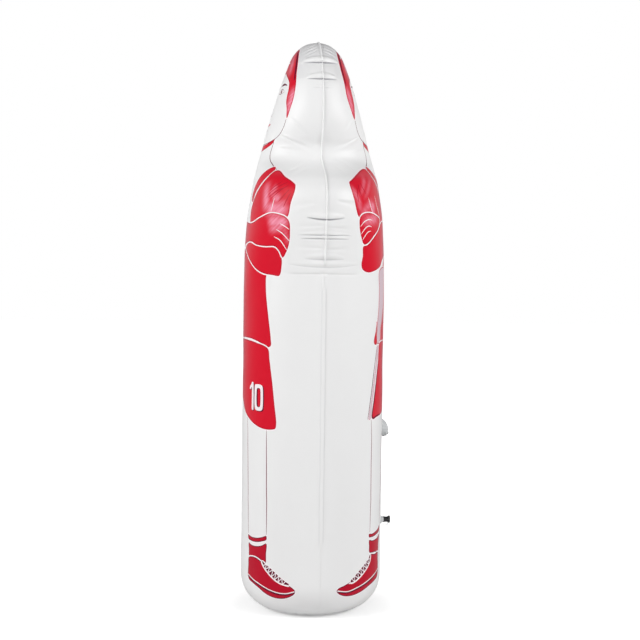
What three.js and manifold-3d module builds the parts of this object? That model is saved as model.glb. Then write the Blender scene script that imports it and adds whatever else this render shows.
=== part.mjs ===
// Inflatable free kick mannequin: two printed film panels welded into an upright body, with a base disc, a
// chamber floor and two valves. Millimetres, +Z up, origin on the floor at the body's axis. The front panel
// faces -Y, the back panel with the valves faces +Y, and the side seams are at +X and -X.
import * as THREE from 'three';
import { mergeVertices } from 'three/addons/utils/BufferGeometryUtils.js';
import Module from 'manifold-3d';

const wasm = await Module();
wasm.setup();

// Body
const HEIGHT = 1750;
const BODY_RADIUS = 217;
const WAIST_Z = 1035;
const EDGE_RADIUS = 108;
const FILM = 0.6;
const SEAT_GAP = 0.3;
const STEP = FILM + SEAT_GAP;

// Welds
const FIN_WIDTH = 3.6;
const FIN_TAPER = 40;
const LAP_WIDTH = 12;
const LAP_END_Z = 190;
const LAP_TAPER = 30;
const JOGGLE = 10;
const BASE_WELD_RADIUS = 150;
const SEAM_BAND = 48;
const FIN_LEAST_SHARE = 0.1;
const FIN_OVERLAP_SHARE = 0.8;

// Chamber floor
const FLOOR_Z = 345;
const FLOOR_MARGIN = 12;
const FLOOR_SAG = 30;

// Air valve, on the back panel
const AIR_VALVE_Z = 562;
const AIR_FLANGE_RADIUS = 37;
const AIR_WEB_RADIUS = 25;
const AIR_STEM_RADIUS = 12;
const AIR_STEM_LENGTH = 5;
const AIR_TUBE_DEPTH = 5;
const AIR_BORE_RADIUS = 7.6;
const AIR_WALL = 1.4;
const AIR_DROOP = THREE.MathUtils.degToRad(62);
const AIR_PIVOT_REACH = 0.8;
const AIR_FAN_REACH = 2.4;
const PLUG_RIM = 2.2;
const PLUG_SHANK = 7.5;
const PLUG_TAPER = 0.5;
const PLUG_TAB_WIDTH = 7;
const PLUG_TAB_REACH = 4.5;
const PLUG_TAB_THICKNESS = 2;
const FLAP_THICKNESS = 0.8;
const AIR_STRAP_BEND_SHARE = 0.7;
const AIR_STRAP_BOW_SHARE = 1.5;

// Water valve, on the back panel
const WATER_VALVE_Z = 267;
const WATER_FLANGE_RADIUS = 30;
const NECK_ROOT_RADIUS = 15.5;
const NECK_TIP_RADIUS = 9.8;
const NECK_REACH = 12;
const NECK_BEND_SHARE = 0.4;
const NECK_END_SHARE = 0.8;
const SPOUT_RADIUS = 6.9;
const SPOUT_BORE_RADIUS = 5.4;
const SPOUT_REACH = 28;
const SHANK_RADIUS = 7.3;
const SHANK_DEPTH = 1;
const COLLAR_RADIUS = 9.4;
const COLLAR_THICKNESS = 2;
const CAP_REACH = 32.6;
const CAP_WALL = 1.2;
const CAP_END_WALL = 2.5;
const CAP_BEAD = 0.9;
const CAP_BEAD_LENGTH = 1.8;
const CAP_RIM_RADIUS = 11.6;
const CAP_RIM_THICKNESS = 3.8;
const GRIP_COUNT = 12;
const GRIP_RADIUS = 1.5;
const GRIP_INSET_SHARE = 0.4;
const GASKET_THICKNESS = 0.9;
const RING_WALL = 1;
const RING_LENGTH = 3;
const FLANGE_THICKNESS = 1.2;
const STRAP_WIDTH = 6;
const STRAP_THICKNESS = 1.2;
const WATER_STRAP_ROOT_SHARE = 0.3;
const WATER_STRAP_BOW_SHARE = 7;

// Facets
const ROUND_STEPS = 28;
const SMALL_STEPS = 24;
const MIDDLE_COLUMNS = 11;
const UPPER_ROWS = 13;
const ROUNDING_STEPS = 4;
const WEB_FOLDS = 7;
const STRAP_STEPS = 10;
const GRIP_STEPS = 10;
const TAB_STEPS = 4;
const SEARCH_STEPS = 40;
const CUT_OVERRUN = 5;
const MERGE_DISTANCE = 1e-5;

// The outline above the waist: height from waist to crown, half width and half depth, as shares.
const outlineShares = [
  [0, 1, 1],
  [0.103, 1.05, 0.99],
  [0.234, 1.12, 0.96],
  [0.322, 1.135, 0.92],
  [0.385, 1.04, 0.89],
  [0.44, 0.8, 0.85],
  [0.495, 0.575, 0.802],
  [0.54, 0.57, 0.759],
  [0.582, 0.635, 0.725],
  [0.64, 0.69, 0.67],
  [0.712, 0.7, 0.605],
  [0.799, 0.645, 0.52],
  [0.885, 0.53, 0.42],
  [0.93, 0.44, 0.36],
  [0.965, 0.33, 0.275],
  [0.988, 0.2, 0.17],
  [1, 0, 0],
];

// Puckers across the side seams above the waist: height share, and half length, height and depth.
const puckers = [
  { share: 0.92, reach: 62, rise: 9, depth: 5 },
  { share: 0.852, reach: 54, rise: 8, depth: 4 },
  { share: 0.74, reach: 48, rise: 9, depth: 2.5 },
  { share: 0.556, reach: 100, rise: 10, depth: 4.5 },
  { share: 0.244, reach: 62, rise: 10, depth: 4.5 },
  { share: 0.165, reach: 76, rise: 9, depth: 4 },
  { share: 0.066, reach: 58, rise: 9, depth: 3 },
];
const PUCKER_BULGE_SHARE = 0.6;
const PUCKER_BULGE_RISE_SHARE = 2;

const FILM_WHITE = { color: 0xeeeeee, roughness: 0.28, metalness: 0 };
const CLEAR_VINYL = { color: 0xc9cdd0, roughness: 0.2, metalness: 0 };
const SILICONE = { color: 0xd8d8d4, roughness: 0.5, metalness: 0 };
const BLACK_PLASTIC = { color: 0x151515, roughness: 0.35, metalness: 0 };
const BLACK_RUBBER = { color: 0x1d1d1d, roughness: 0.75, metalness: 0 };

const CROWN_Z = HEIGHT - FIN_WIDTH;
const UPPER_HEIGHT = CROWN_Z - WAIST_Z;

// Closed solids

function solidFrom(geometry) {
  const plain = geometry.index ? geometry.clone() : geometry;
  plain.deleteAttribute('normal');
  plain.deleteAttribute('uv');
  const merged = mergeVertices(plain, MERGE_DISTANCE);
  return new wasm.Manifold(new wasm.Mesh({
    numProp: 3,
    vertProperties: new Float32Array(merged.attributes.position.array),
    triVerts: new Uint32Array(merged.index.array),
  }));
}

function geometryFrom(solid) {
  const mesh = solid.getMesh();
  const geometry = new THREE.BufferGeometry();
  geometry.setAttribute('position', new THREE.BufferAttribute(mesh.vertProperties, 3));
  geometry.setIndex(new THREE.BufferAttribute(mesh.triVerts, 1));
  geometry.computeVertexNormals();
  return geometry;
}

// A closed solid from points and triangles; the winding is turned round where it encloses a negative volume.
function closedSolid(points, triangles) {
  const volume = triangles.reduce((sum, [a, b, c]) => (
    sum + points[a].dot(new THREE.Vector3().crossVectors(points[b], points[c]))
  ), 0);
  const geometry = new THREE.BufferGeometry().setFromPoints(points);
  geometry.setIndex(triangles.flatMap(([a, b, c]) => (volume > 0 ? [a, b, c] : [a, c, b])));
  return solidFrom(geometry);
}

// The body's shape

const outlineCurve = new THREE.CatmullRomCurve3(outlineShares.map(([rise, width, depth]) => (
  new THREE.Vector3(rise, width, depth)
)), false, 'centripetal');

// Half width and half depth of the section at a height, on the panels' outer face.
function halfSizes(z) {
  const edgeTop = EDGE_RADIUS + STEP;
  if (z < edgeTop) {
    const drop = edgeTop - z;
    const radius = BODY_RADIUS - EDGE_RADIUS + Math.sqrt(Math.max(EDGE_RADIUS ** 2 - drop ** 2, 0));
    return { width: radius, depth: radius };
  }
  if (z <= WAIST_Z) return { width: BODY_RADIUS, depth: BODY_RADIUS };
  const rise = Math.min((z - WAIST_Z) / UPPER_HEIGHT, 1);
  let low = 0;
  let high = 1;
  for (let step = 0; step < SEARCH_STEPS; step += 1) {
    const middle = (low + high) / 2;
    if (outlineCurve.getPoint(middle).x < rise) low = middle;
    else high = middle;
  }
  const point = outlineCurve.getPoint(high);
  return { width: point.y * BODY_RADIUS, depth: point.z * BODY_RADIUS };
}

const bell = (value) => Math.exp(-(value ** 2));

// How far the film stands off its smooth section beside a seam: a crease with a bulge just above it.
function puckerLift(z, arc) {
  return puckers.reduce((sum, { share, reach, rise, depth }) => {
    const height = (z - WAIST_Z - share * UPPER_HEIGHT) / rise;
    const fade = Math.max(0, 1 - (arc / reach) ** 2);
    const bulge = PUCKER_BULGE_SHARE * bell(height - PUCKER_BULGE_RISE_SHARE);
    return sum + depth * fade * (bulge - bell(height));
  }, 0);
}

const ramp = (value, from, to) => THREE.MathUtils.smoothstep(value, from, to);

// 1 where the side weld is a flat lap, 0 where the panels only meet edge to edge or stand out as fins.
function lapShare(z) {
  const lowEnd = ramp(z, LAP_END_Z + LAP_TAPER, LAP_END_Z + 2 * LAP_TAPER);
  return lowEnd * (1 - ramp(z, WAIST_Z - 2 * LAP_TAPER, WAIST_Z - LAP_TAPER));
}

// 1 where the front panel's margin steps out over the back panel's, a little longer than the lap itself.
function joggleShare(z) {
  const lowEnd = ramp(z, LAP_END_Z, LAP_END_Z + LAP_TAPER);
  return lowEnd * (1 - ramp(z, WAIST_Z - LAP_TAPER, WAIST_Z));
}

// A point of a panel's outer face. side is -1 for the front and 1 for the back, arc runs from the +X seam.
function sectionPoint(side, z, arc, lift) {
  const { width, depth } = halfSizes(z);
  const halfArc = Math.PI / 2 * depth;
  const mirrored = arc > halfArc;
  const seamArc = mirrored ? 2 * halfArc - arc : arc;
  const angle = seamArc / depth;
  const normal = new THREE.Vector2(Math.cos(angle) / width, Math.sin(angle) / depth).normalize();
  const out = lift + puckerLift(z, seamArc);
  const x = width * Math.cos(angle) + normal.x * out;
  const y = depth * Math.sin(angle) + normal.y * out;
  return new THREE.Vector3(mirrored ? -x : x, side * y, z);
}

// Film panels

// Rows of the panel's grid: near the crown as shares of the height above the waist, and at a pucker in rises.
const crownShares = [0.96, 0.982, 0.994, 0.998];
const puckerRowShares = [-1.4, 0, 1.4, 3.2];

function panelHeights() {
  const center = EDGE_RADIUS + STEP;
  const foot = BODY_RADIUS - EDGE_RADIUS;
  const inner = Math.asin((BASE_WELD_RADIUS - LAP_WIDTH / 2 - foot) / EDGE_RADIUS);
  const outer = Math.asin((BASE_WELD_RADIUS + LAP_WIDTH / 2 - foot) / EDGE_RADIUS);
  const rounding = Array.from({ length: ROUNDING_STEPS + 1 }, (_, index) => (
    THREE.MathUtils.lerp(outer, Math.PI / 2, index / ROUNDING_STEPS)
  ));
  const heights = [inner, ...rounding].map((angle) => center - EDGE_RADIUS * Math.cos(angle));
  const lapEnds = [0, LAP_TAPER, 2 * LAP_TAPER];
  heights.push(...lapEnds.map((rise) => LAP_END_Z + rise));
  heights.push(...lapEnds.map((rise) => WAIST_Z - rise), (FLOOR_Z + WAIST_Z) / 2);
  puckers.forEach(({ share, rise }) => {
    heights.push(...puckerRowShares.map((step) => WAIST_Z + share * UPPER_HEIGHT + step * rise));
  });
  heights.push(...crownShares.map((share) => WAIST_Z + share * UPPER_HEIGHT));
  heights.sort((a, b) => a - b);
  const widest = UPPER_HEIGHT / UPPER_ROWS;
  return heights.flatMap((z, index) => {
    const next = heights[index + 1];
    if (z < WAIST_Z || next === undefined || next - z < widest) return [z];
    const count = Math.ceil((next - z) / widest);
    return Array.from({ length: count }, (_, step) => z + (next - z) * step / count);
  });
}

// Arc positions across a panel at one height, from one seam edge to the other.
function panelArcs(z) {
  const { depth } = halfSizes(z);
  const full = Math.PI * depth;
  const scale = Math.min(1, depth / BODY_RADIUS);
  const lap = lapShare(z) * (LAP_WIDTH + SEAT_GAP) / 2;
  const edge = SEAT_GAP / 2 - lap;
  const near = [LAP_WIDTH / 2, LAP_WIDTH / 2 + JOGGLE, SEAM_BAND].map((arc) => arc * scale);
  const from = near[near.length - 1];
  const middle = Array.from({ length: MIDDLE_COLUMNS }, (_, index) => (
    from + (full - 2 * from) * (index + 1) / (MIDDLE_COLUMNS + 1)
  ));
  return [edge, ...near, ...middle, ...near.map((arc) => full - arc).reverse(), full - edge];
}

function panelGrid(side, heights) {
  return heights.map((z) => {
    const arcs = panelArcs(z);
    const last = arcs.length - 1;
    const joggle = side < 0 ? STEP * joggleShare(z) : 0;
    return arcs.map((arc, index) => {
      const onMargin = index <= 1 || index >= last - 1;
      return sectionPoint(side, z, arc, onMargin ? joggle : 0);
    });
  });
}

// The grid's inner face, one film thickness in; the edges stay in their own plane beside the seam.
function innerGrid(side, grid) {
  const at = (row, column) => grid[THREE.MathUtils.clamp(row, 0, grid.length - 1)][column];
  return grid.map((points, row) => points.map((point, column) => {
    const last = points.length - 1;
    const across = at(row, Math.min(column + 1, last)).clone().sub(at(row, Math.max(column - 1, 0)));
    const up = at(row + 1, column).clone().sub(at(row - 1, column));
    const normal = across.cross(up).multiplyScalar(side);
    if (column === 0 || column === last) normal.y = 0;
    return point.clone().addScaledVector(normal.normalize(), -FILM);
  }));
}

// A thin wall between two grids that close at the top in one point each.
function shellSolid(outer, inner, outerTip, innerTip) {
  const rows = outer.length;
  const columns = outer[0].length;
  const points = [...outer.flat(), ...inner.flat(), outerTip, innerTip];
  const triangles = [];
  const quad = (a, b, c, d) => triangles.push([a, b, c], [a, c, d]);
  const out = (row, column) => row * columns + column;
  const back = (row, column) => rows * columns + row * columns + column;
  const tipOut = 2 * rows * columns;
  const tipIn = tipOut + 1;
  for (let row = 0; row < rows - 1; row += 1) {
    for (let column = 0; column < columns - 1; column += 1) {
      quad(out(row, column), out(row, column + 1), out(row + 1, column + 1), out(row + 1, column));
      quad(back(row, column), back(row + 1, column), back(row + 1, column + 1), back(row, column + 1));
    }
    quad(out(row, 0), out(row + 1, 0), back(row + 1, 0), back(row, 0));
    const end = columns - 1;
    quad(out(row, end), back(row, end), back(row + 1, end), out(row + 1, end));
  }
  const top = rows - 1;
  for (let column = 0; column < columns - 1; column += 1) {
    quad(out(0, column + 1), out(0, column), back(0, column), back(0, column + 1));
    triangles.push([out(top, column), out(top, column + 1), tipOut]);
    triangles.push([back(top, column + 1), back(top, column), tipIn]);
  }
  quad(out(top, 0), tipOut, tipIn, back(top, 0));
  quad(out(top, columns - 1), back(top, columns - 1), tipIn, tipOut);
  return closedSolid(points, triangles);
}

// The welded fin that stands out along a panel's edge above the waist and over the crown.
function finSolid(side, grid, tip) {
  const above = grid.filter((points) => points[0].z >= WAIST_Z);
  const rightEdge = above.map((points) => new THREE.Vector2(points[0].x, points[0].z));
  const leftEdge = above.map((points) => new THREE.Vector2(points[points.length - 1].x, points[0].z));
  const path = [...rightEdge, new THREE.Vector2(tip.x, tip.z), ...leftEdge.reverse()];
  const offsetPath = (reachAt) => path.map((point, index) => {
    const before = path[Math.max(index - 1, 0)];
    const after = path[Math.min(index + 1, path.length - 1)];
    const along = after.clone().sub(before).normalize();
    return point.clone().addScaledVector(new THREE.Vector2(along.y, -along.x), reachAt(point.y));
  });
  const outerEdge = offsetPath((z) => (
    FIN_WIDTH * Math.max(ramp(z, WAIST_Z, WAIST_Z + FIN_TAPER), FIN_LEAST_SHARE)
  ));
  const innerEdge = offsetPath(() => -FILM * FIN_OVERLAP_SHARE);
  const band = new THREE.ExtrudeGeometry(new THREE.Shape([...outerEdge, ...innerEdge.reverse()]), {
    depth: FILM, bevelEnabled: false, steps: 1,
  });
  band.rotateX(Math.PI / 2);
  band.translate(0, side < 0 ? -SEAT_GAP / 2 : SEAT_GAP / 2 + FILM, 0);
  return solidFrom(band);
}

function panelSolid(side) {
  const grid = panelGrid(side, panelHeights());
  const outerTip = new THREE.Vector3(0, side * SEAT_GAP / 2, CROWN_Z);
  const innerTip = outerTip.clone().setZ(CROWN_Z - FILM);
  const shell = shellSolid(grid, innerGrid(side, grid), outerTip, innerTip);
  return shell.add(finSolid(side, grid, outerTip));
}

// Parts turned round the body's axis, with the same corners as the panels so that they nest

function sectionAngles() {
  const half = panelArcs(LAP_END_Z).slice(1, -1).map((arc) => arc / BODY_RADIUS);
  return [...half, ...half.map((angle) => angle + Math.PI)];
}

// A solid between rings given as radius and height, from the axis out and back to the axis.
function ringSolid(profile) {
  const angles = sectionAngles();
  const count = angles.length;
  const rings = profile.slice(1, -1);
  const points = rings.flatMap(([radius, z]) => angles.map((angle) => (
    new THREE.Vector3(radius * Math.cos(angle), radius * Math.sin(angle), z)
  )));
  const first = points.length;
  points.push(new THREE.Vector3(0, 0, profile[0][1]));
  points.push(new THREE.Vector3(0, 0, profile[profile.length - 1][1]));
  const triangles = [];
  const lastRing = (rings.length - 1) * count;
  angles.forEach((_, index) => {
    const next = (index + 1) % count;
    for (let ring = 0; ring < rings.length - 1; ring += 1) {
      const low = ring * count;
      const high = low + count;
      triangles.push([low + index, low + next, high + next], [low + index, high + next, high + index]);
    }
    triangles.push([first, next, index], [first + 1, lastRing + index, lastRing + next]);
  });
  return closedSolid(points, triangles);
}

function basePanelSolid() {
  const foot = BODY_RADIUS - EDGE_RADIUS;
  const center = EDGE_RADIUS + STEP;
  const outer = EDGE_RADIUS + STEP;
  const inner = outer - FILM;
  const weldAngles = [-LAP_WIDTH / 2, LAP_WIDTH / 2].map((reach) => (
    Math.asin((BASE_WELD_RADIUS + reach - foot) / EDGE_RADIUS)
  ));
  const steps = [0, weldAngles[0] / 2, ...weldAngles];
  const under = steps.map((angle) => [foot + outer * Math.sin(angle), center - outer * Math.cos(angle)]);
  const over = steps.map((angle) => [foot + inner * Math.sin(angle), center - inner * Math.cos(angle)]);
  return ringSolid([[0, 0], ...under, ...over.reverse(), [0, FILM]]);
}

function chamberFloorSolid() {
  const outer = BODY_RADIUS - FILM - SEAT_GAP;
  const inner = outer - FILM;
  const sagShares = [0.97, 0.85, 0.6, 0.3];
  const dish = (radius, lift) => [radius, FLOOR_Z + lift - FLOOR_SAG * (1 - (radius / outer) ** 2)];
  return ringSolid([
    dish(0, 0),
    ...sagShares.map((share) => dish(share * inner, 0)).reverse(),
    [outer, FLOOR_Z],
    [outer, FLOOR_Z + FLOOR_MARGIN],
    [inner, FLOOR_Z + FLOOR_MARGIN],
    [inner, FLOOR_Z + FILM],
    ...sagShares.map((share) => dish(share * inner, FILM)),
    dish(0, FILM),
  ]);
}

// Valve shapes. Each is drawn about the +Y axis of its own frame, with zero at the body's outer face.

function turned(profile, steps) {
  const closed = profile.map(([radius, reach]) => new THREE.Vector2(radius, reach));
  return new THREE.LatheGeometry(closed, steps);
}

function rod(radius, from, to, steps) {
  return solidFrom(turned([[0, from], [radius, from], [radius, to], [0, to]], steps));
}

// A film-thin disc curved to lie behind the back panel, cut round at the flange's radius.
function flangeSolid(radius, valveZ) {
  const outer = BODY_RADIUS - FILM - SEAT_GAP;
  const inner = outer - FLANGE_THICKNESS;
  const low = valveZ - radius - CUT_OVERRUN;
  const high = valveZ + radius + CUT_OVERRUN;
  const sleeve = ringSolid([[0, low], [outer, low], [outer, high], [0, high]])
    .subtract(ringSolid([[0, low - CUT_OVERRUN], [inner, low - CUT_OVERRUN], [inner, high + CUT_OVERRUN],
      [0, high + CUT_OVERRUN]]));
  const punch = rod(radius, -BODY_RADIUS / 2, CUT_OVERRUN, ROUND_STEPS).translate(0, BODY_RADIUS, valveZ);
  return sleeve.intersect(punch).translate(0, -BODY_RADIUS, -valveZ);
}

// Reach, from the body's face, at which a round valve root has met its curved flange all the way round.
function rootReach(radius) {
  const hollow = BODY_RADIUS - Math.sqrt(BODY_RADIUS ** 2 - radius ** 2);
  return -(STEP + FLANGE_THICKNESS / 2 + hollow);
}

// Air valve: a soft web that narrows and folds down from its root to a short stem.
const airAcross = new THREE.Vector3(0, Math.sin(AIR_DROOP), Math.cos(AIR_DROOP));
const airAlong = new THREE.Vector3(0, Math.cos(AIR_DROOP), -Math.sin(AIR_DROOP));
const airPivot = new THREE.Vector3(0, AIR_PIVOT_REACH, -AIR_WEB_RADIUS);
const airStemRoot = airPivot.clone()
  .addScaledVector(airAlong, AIR_FAN_REACH)
  .addScaledVector(airAcross, AIR_STEM_RADIUS);

function fanRings(inset, startReach, stemLength) {
  const rings = [{ center: new THREE.Vector3(0, startReach, 0), radius: AIR_WEB_RADIUS - inset, turn: 0 }];
  for (let fold = 0; fold <= WEB_FOLDS; fold += 1) {
    const share = fold / WEB_FOLDS;
    const turn = AIR_DROOP * share;
    const radius = THREE.MathUtils.lerp(AIR_WEB_RADIUS, AIR_STEM_RADIUS, Math.sin(share * Math.PI / 2));
    const across = new THREE.Vector3(0, Math.sin(turn), Math.cos(turn));
    const center = airPivot.clone()
      .addScaledVector(airAlong, AIR_FAN_REACH * share)
      .addScaledVector(across, radius);
    rings.push({ center, radius: radius - inset, turn });
  }
  rings.push({
    center: airStemRoot.clone().addScaledVector(airAlong, stemLength),
    radius: AIR_STEM_RADIUS - inset,
    turn: AIR_DROOP,
  });
  return rings;
}

function loftSolid(rings, steps) {
  const points = rings.flatMap(({ center, radius, turn }) => (
    Array.from({ length: steps }, (_, index) => {
      const angle = 2 * Math.PI * index / steps;
      const side = radius * Math.sin(angle);
      const across = radius * Math.cos(angle);
      return new THREE.Vector3(side, across * Math.sin(turn), across * Math.cos(turn)).add(center);
    })
  ));
  const triangles = [];
  for (let ring = 0; ring < rings.length - 1; ring += 1) {
    for (let index = 0; index < steps; index += 1) {
      const next = (index + 1) % steps;
      const low = ring * steps;
      const high = low + steps;
      triangles.push([low + index, low + next, high + next], [low + index, high + next, high + index]);
    }
  }
  const last = (rings.length - 1) * steps;
  for (let index = 1; index < steps - 1; index += 1) {
    triangles.push([0, index + 1, index], [last, last + index, last + index + 1]);
  }
  return closedSolid(points, triangles);
}

// A flat ribbon that follows a curve in the YZ plane, as wide as its strap along X.
function ribbonSolid(places, centerX, width, thickness) {
  const curve = new THREE.CatmullRomCurve3(places.map(([y, z]) => new THREE.Vector3(y, z, 0)));
  const edge = (lift) => Array.from({ length: STRAP_STEPS + 1 }, (_, index) => {
    const along = curve.getTangent(index / STRAP_STEPS);
    const place = curve.getPoint(index / STRAP_STEPS);
    return new THREE.Vector2(place.x - along.y * lift, place.y + along.x * lift);
  });
  const outline = new THREE.Shape([...edge(thickness / 2), ...edge(-thickness / 2).reverse()]);
  const ribbon = new THREE.ExtrudeGeometry(outline, { depth: width, bevelEnabled: false, steps: 1 });
  ribbon.applyMatrix4(new THREE.Matrix4().makeBasis(
    new THREE.Vector3(0, 1, 0), new THREE.Vector3(0, 0, 1), new THREE.Vector3(1, 0, 0),
  ));
  ribbon.translate(centerX - width / 2, 0, 0);
  return solidFrom(ribbon);
}

// Turns a shape drawn about +Y so that it lies along the drooping stem, with zero at the stem's root.
function alongStem(solid) {
  const matrix = new THREE.Matrix4().makeBasis(new THREE.Vector3(1, 0, 0), airAlong, airAcross);
  matrix.setPosition(airStemRoot);
  return solid.transform(matrix.elements);
}

function airValveBodySolid() {
  const start = rootReach(AIR_WEB_RADIUS);
  const outer = loftSolid(fanRings(0, start, AIR_STEM_LENGTH), ROUND_STEPS);
  const hollow = loftSolid(fanRings(AIR_WALL, start - CUT_OVERRUN, 0), ROUND_STEPS);
  const tube = alongStem(rod(AIR_BORE_RADIUS + AIR_WALL, -AIR_TUBE_DEPTH, AIR_STEM_LENGTH / 2, SMALL_STEPS));
  const bore = alongStem(rod(
    AIR_BORE_RADIUS, -AIR_TUBE_DEPTH - CUT_OVERRUN, AIR_STEM_LENGTH + CUT_OVERRUN, SMALL_STEPS,
  ));
  const rimReach = AIR_STEM_LENGTH + SEAT_GAP + PLUG_RIM / 2;
  const bow = AIR_STEM_RADIUS + SEAT_GAP + STRAP_THICKNESS / 2;
  const strap = alongStem(ribbonSolid([
    [AIR_STEM_LENGTH / 2, AIR_STEM_RADIUS - STRAP_THICKNESS],
    [AIR_STEM_LENGTH * AIR_STRAP_BEND_SHARE, bow + STRAP_THICKNESS],
    [AIR_STEM_LENGTH, bow + AIR_STRAP_BOW_SHARE * STRAP_THICKNESS],
    [rimReach, bow + STRAP_THICKNESS / 2],
    [rimReach, bow],
  ], 0, STRAP_WIDTH, STRAP_THICKNESS).rotate([0, 90, 0]));
  return flangeSolid(AIR_FLANGE_RADIUS, AIR_VALVE_Z)
    .add(outer)
    .subtract(hollow)
    .add(tube)
    .subtract(bore)
    .add(strap);
}

function airValvePlugGeometry() {
  const start = AIR_STEM_LENGTH + SEAT_GAP;
  const shank = AIR_BORE_RADIUS - SEAT_GAP;
  const body = solidFrom(turned([
    [0, start - PLUG_SHANK],
    [shank - PLUG_TAPER, start - PLUG_SHANK],
    [shank, start - PLUG_SHANK / 2],
    [shank, start],
    [AIR_STEM_RADIUS, start],
    [AIR_STEM_RADIUS, start + PLUG_RIM],
    [0, start + PLUG_RIM],
  ], SMALL_STEPS));
  const tabOutline = new THREE.Shape();
  tabOutline.moveTo(-PLUG_TAB_WIDTH / 2, -PLUG_RIM / 2);
  tabOutline.lineTo(PLUG_TAB_WIDTH / 2, -PLUG_RIM / 2);
  tabOutline.lineTo(PLUG_TAB_WIDTH / 2, PLUG_TAB_REACH / 2);
  tabOutline.quadraticCurveTo(PLUG_TAB_WIDTH / 2, PLUG_TAB_REACH, 0, PLUG_TAB_REACH);
  tabOutline.quadraticCurveTo(-PLUG_TAB_WIDTH / 2, PLUG_TAB_REACH, -PLUG_TAB_WIDTH / 2, PLUG_TAB_REACH / 2);
  const tab = new THREE.ExtrudeGeometry(tabOutline, {
    depth: PLUG_TAB_THICKNESS, bevelEnabled: false, curveSegments: TAB_STEPS,
  });
  tab.translate(0, start + PLUG_RIM, -PLUG_TAB_THICKNESS / 2);
  return geometryFrom(alongStem(body.add(solidFrom(tab))));
}

function airValveFlapGeometry() {
  const radius = AIR_BORE_RADIUS + AIR_WALL;
  const seat = -(AIR_TUBE_DEPTH + SEAT_GAP);
  return geometryFrom(alongStem(rod(radius, seat - FLAP_THICKNESS, seat, SMALL_STEPS)));
}

// Water valve

function waterNeckSolid() {
  const start = rootReach(NECK_ROOT_RADIUS);
  const cone = solidFrom(turned([
    [0, start],
    [NECK_ROOT_RADIUS, start],
    [NECK_ROOT_RADIUS, 0],
    [(NECK_ROOT_RADIUS + NECK_TIP_RADIUS) / 2, NECK_REACH * NECK_BEND_SHARE],
    [NECK_TIP_RADIUS, NECK_REACH * NECK_END_SHARE],
    [NECK_TIP_RADIUS, NECK_REACH],
    [0, NECK_REACH],
  ], ROUND_STEPS));
  const bore = rod(SHANK_RADIUS + SEAT_GAP, start - CUT_OVERRUN, NECK_REACH + CUT_OVERRUN, SMALL_STEPS);
  const ringRadius = capWaistRadius() + SEAT_GAP + RING_WALL;
  const tip = ringRadius + SEAT_GAP;
  const bow = tip + WATER_STRAP_BOW_SHARE * STRAP_THICKNESS;
  const strap = ribbonSolid([
    [NECK_REACH * WATER_STRAP_ROOT_SHARE, -(NECK_ROOT_RADIUS + NECK_TIP_RADIUS) / 2],
    [NECK_REACH, -(bow - STRAP_THICKNESS)],
    [(NECK_REACH + ringReach()) / 2, -bow],
    [ringReach() + RING_LENGTH / 2, -(bow - 2 * STRAP_THICKNESS)],
    [ringReach() + RING_LENGTH / 2, -tip],
  ], 0, STRAP_WIDTH, STRAP_THICKNESS);
  return flangeSolid(WATER_FLANGE_RADIUS, WATER_VALVE_Z).add(cone).add(strap).subtract(bore);
}

function waterInsertGeometry() {
  const collar = NECK_REACH + SEAT_GAP;
  return turned([
    [SPOUT_BORE_RADIUS, -SHANK_DEPTH],
    [SHANK_RADIUS, -SHANK_DEPTH],
    [SHANK_RADIUS, collar],
    [COLLAR_RADIUS, collar],
    [COLLAR_RADIUS, collar + COLLAR_THICKNESS],
    [SPOUT_RADIUS, collar + COLLAR_THICKNESS],
    [SPOUT_RADIUS, SPOUT_REACH],
    [SPOUT_BORE_RADIUS, SPOUT_REACH],
    [SPOUT_BORE_RADIUS, -SHANK_DEPTH],
  ], SMALL_STEPS);
}

const capWaistRadius = () => SPOUT_RADIUS + SEAT_GAP + CAP_WALL;
const ringReach = () => CAP_REACH - CAP_RIM_THICKNESS - SEAT_GAP - RING_LENGTH;

function waterCapGeometry() {
  const start = NECK_REACH + 2 * SEAT_GAP + COLLAR_THICKNESS;
  const waist = capWaistRadius();
  const shell = solidFrom(turned([
    [0, start],
    [waist + CAP_BEAD, start],
    [waist + CAP_BEAD, start + CAP_BEAD_LENGTH],
    [waist, start + CAP_BEAD_LENGTH + CAP_BEAD],
    [waist, CAP_REACH - CAP_RIM_THICKNESS],
    [CAP_RIM_RADIUS, CAP_REACH - CAP_RIM_THICKNESS],
    [CAP_RIM_RADIUS, CAP_REACH],
    [0, CAP_REACH],
  ], SMALL_STEPS * 2));
  const well = rod(SPOUT_RADIUS + SEAT_GAP, start - CUT_OVERRUN, CAP_REACH - CAP_END_WALL, SMALL_STEPS);
  let cap = shell.subtract(well);
  for (let grip = 0; grip < GRIP_COUNT; grip += 1) {
    const angle = 2 * Math.PI * (grip + 0.5) / GRIP_COUNT;
    const reach = CAP_RIM_RADIUS + GRIP_RADIUS * GRIP_INSET_SHARE;
    const from = CAP_REACH - CAP_RIM_THICKNESS - SEAT_GAP;
    const scoop = rod(GRIP_RADIUS, from, CAP_REACH + CUT_OVERRUN, GRIP_STEPS);
    cap = cap.subtract(scoop.translate(reach * Math.cos(angle), 0, reach * Math.sin(angle)));
  }
  return geometryFrom(cap);
}

function gasketGeometry() {
  const from = SPOUT_REACH + SEAT_GAP;
  return turned([
    [SPOUT_BORE_RADIUS, from],
    [SPOUT_RADIUS, from],
    [SPOUT_RADIUS, from + GASKET_THICKNESS],
    [SPOUT_BORE_RADIUS, from + GASKET_THICKNESS],
    [SPOUT_BORE_RADIUS, from],
  ], SMALL_STEPS);
}

function capRingGeometry() {
  const inner = capWaistRadius() + SEAT_GAP;
  const outer = inner + RING_WALL;
  return turned([
    [inner, ringReach()],
    [outer, ringReach()],
    [outer, ringReach() + RING_LENGTH],
    [inner, ringReach() + RING_LENGTH],
    [inner, ringReach()],
  ], SMALL_STEPS * 2);
}

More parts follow.
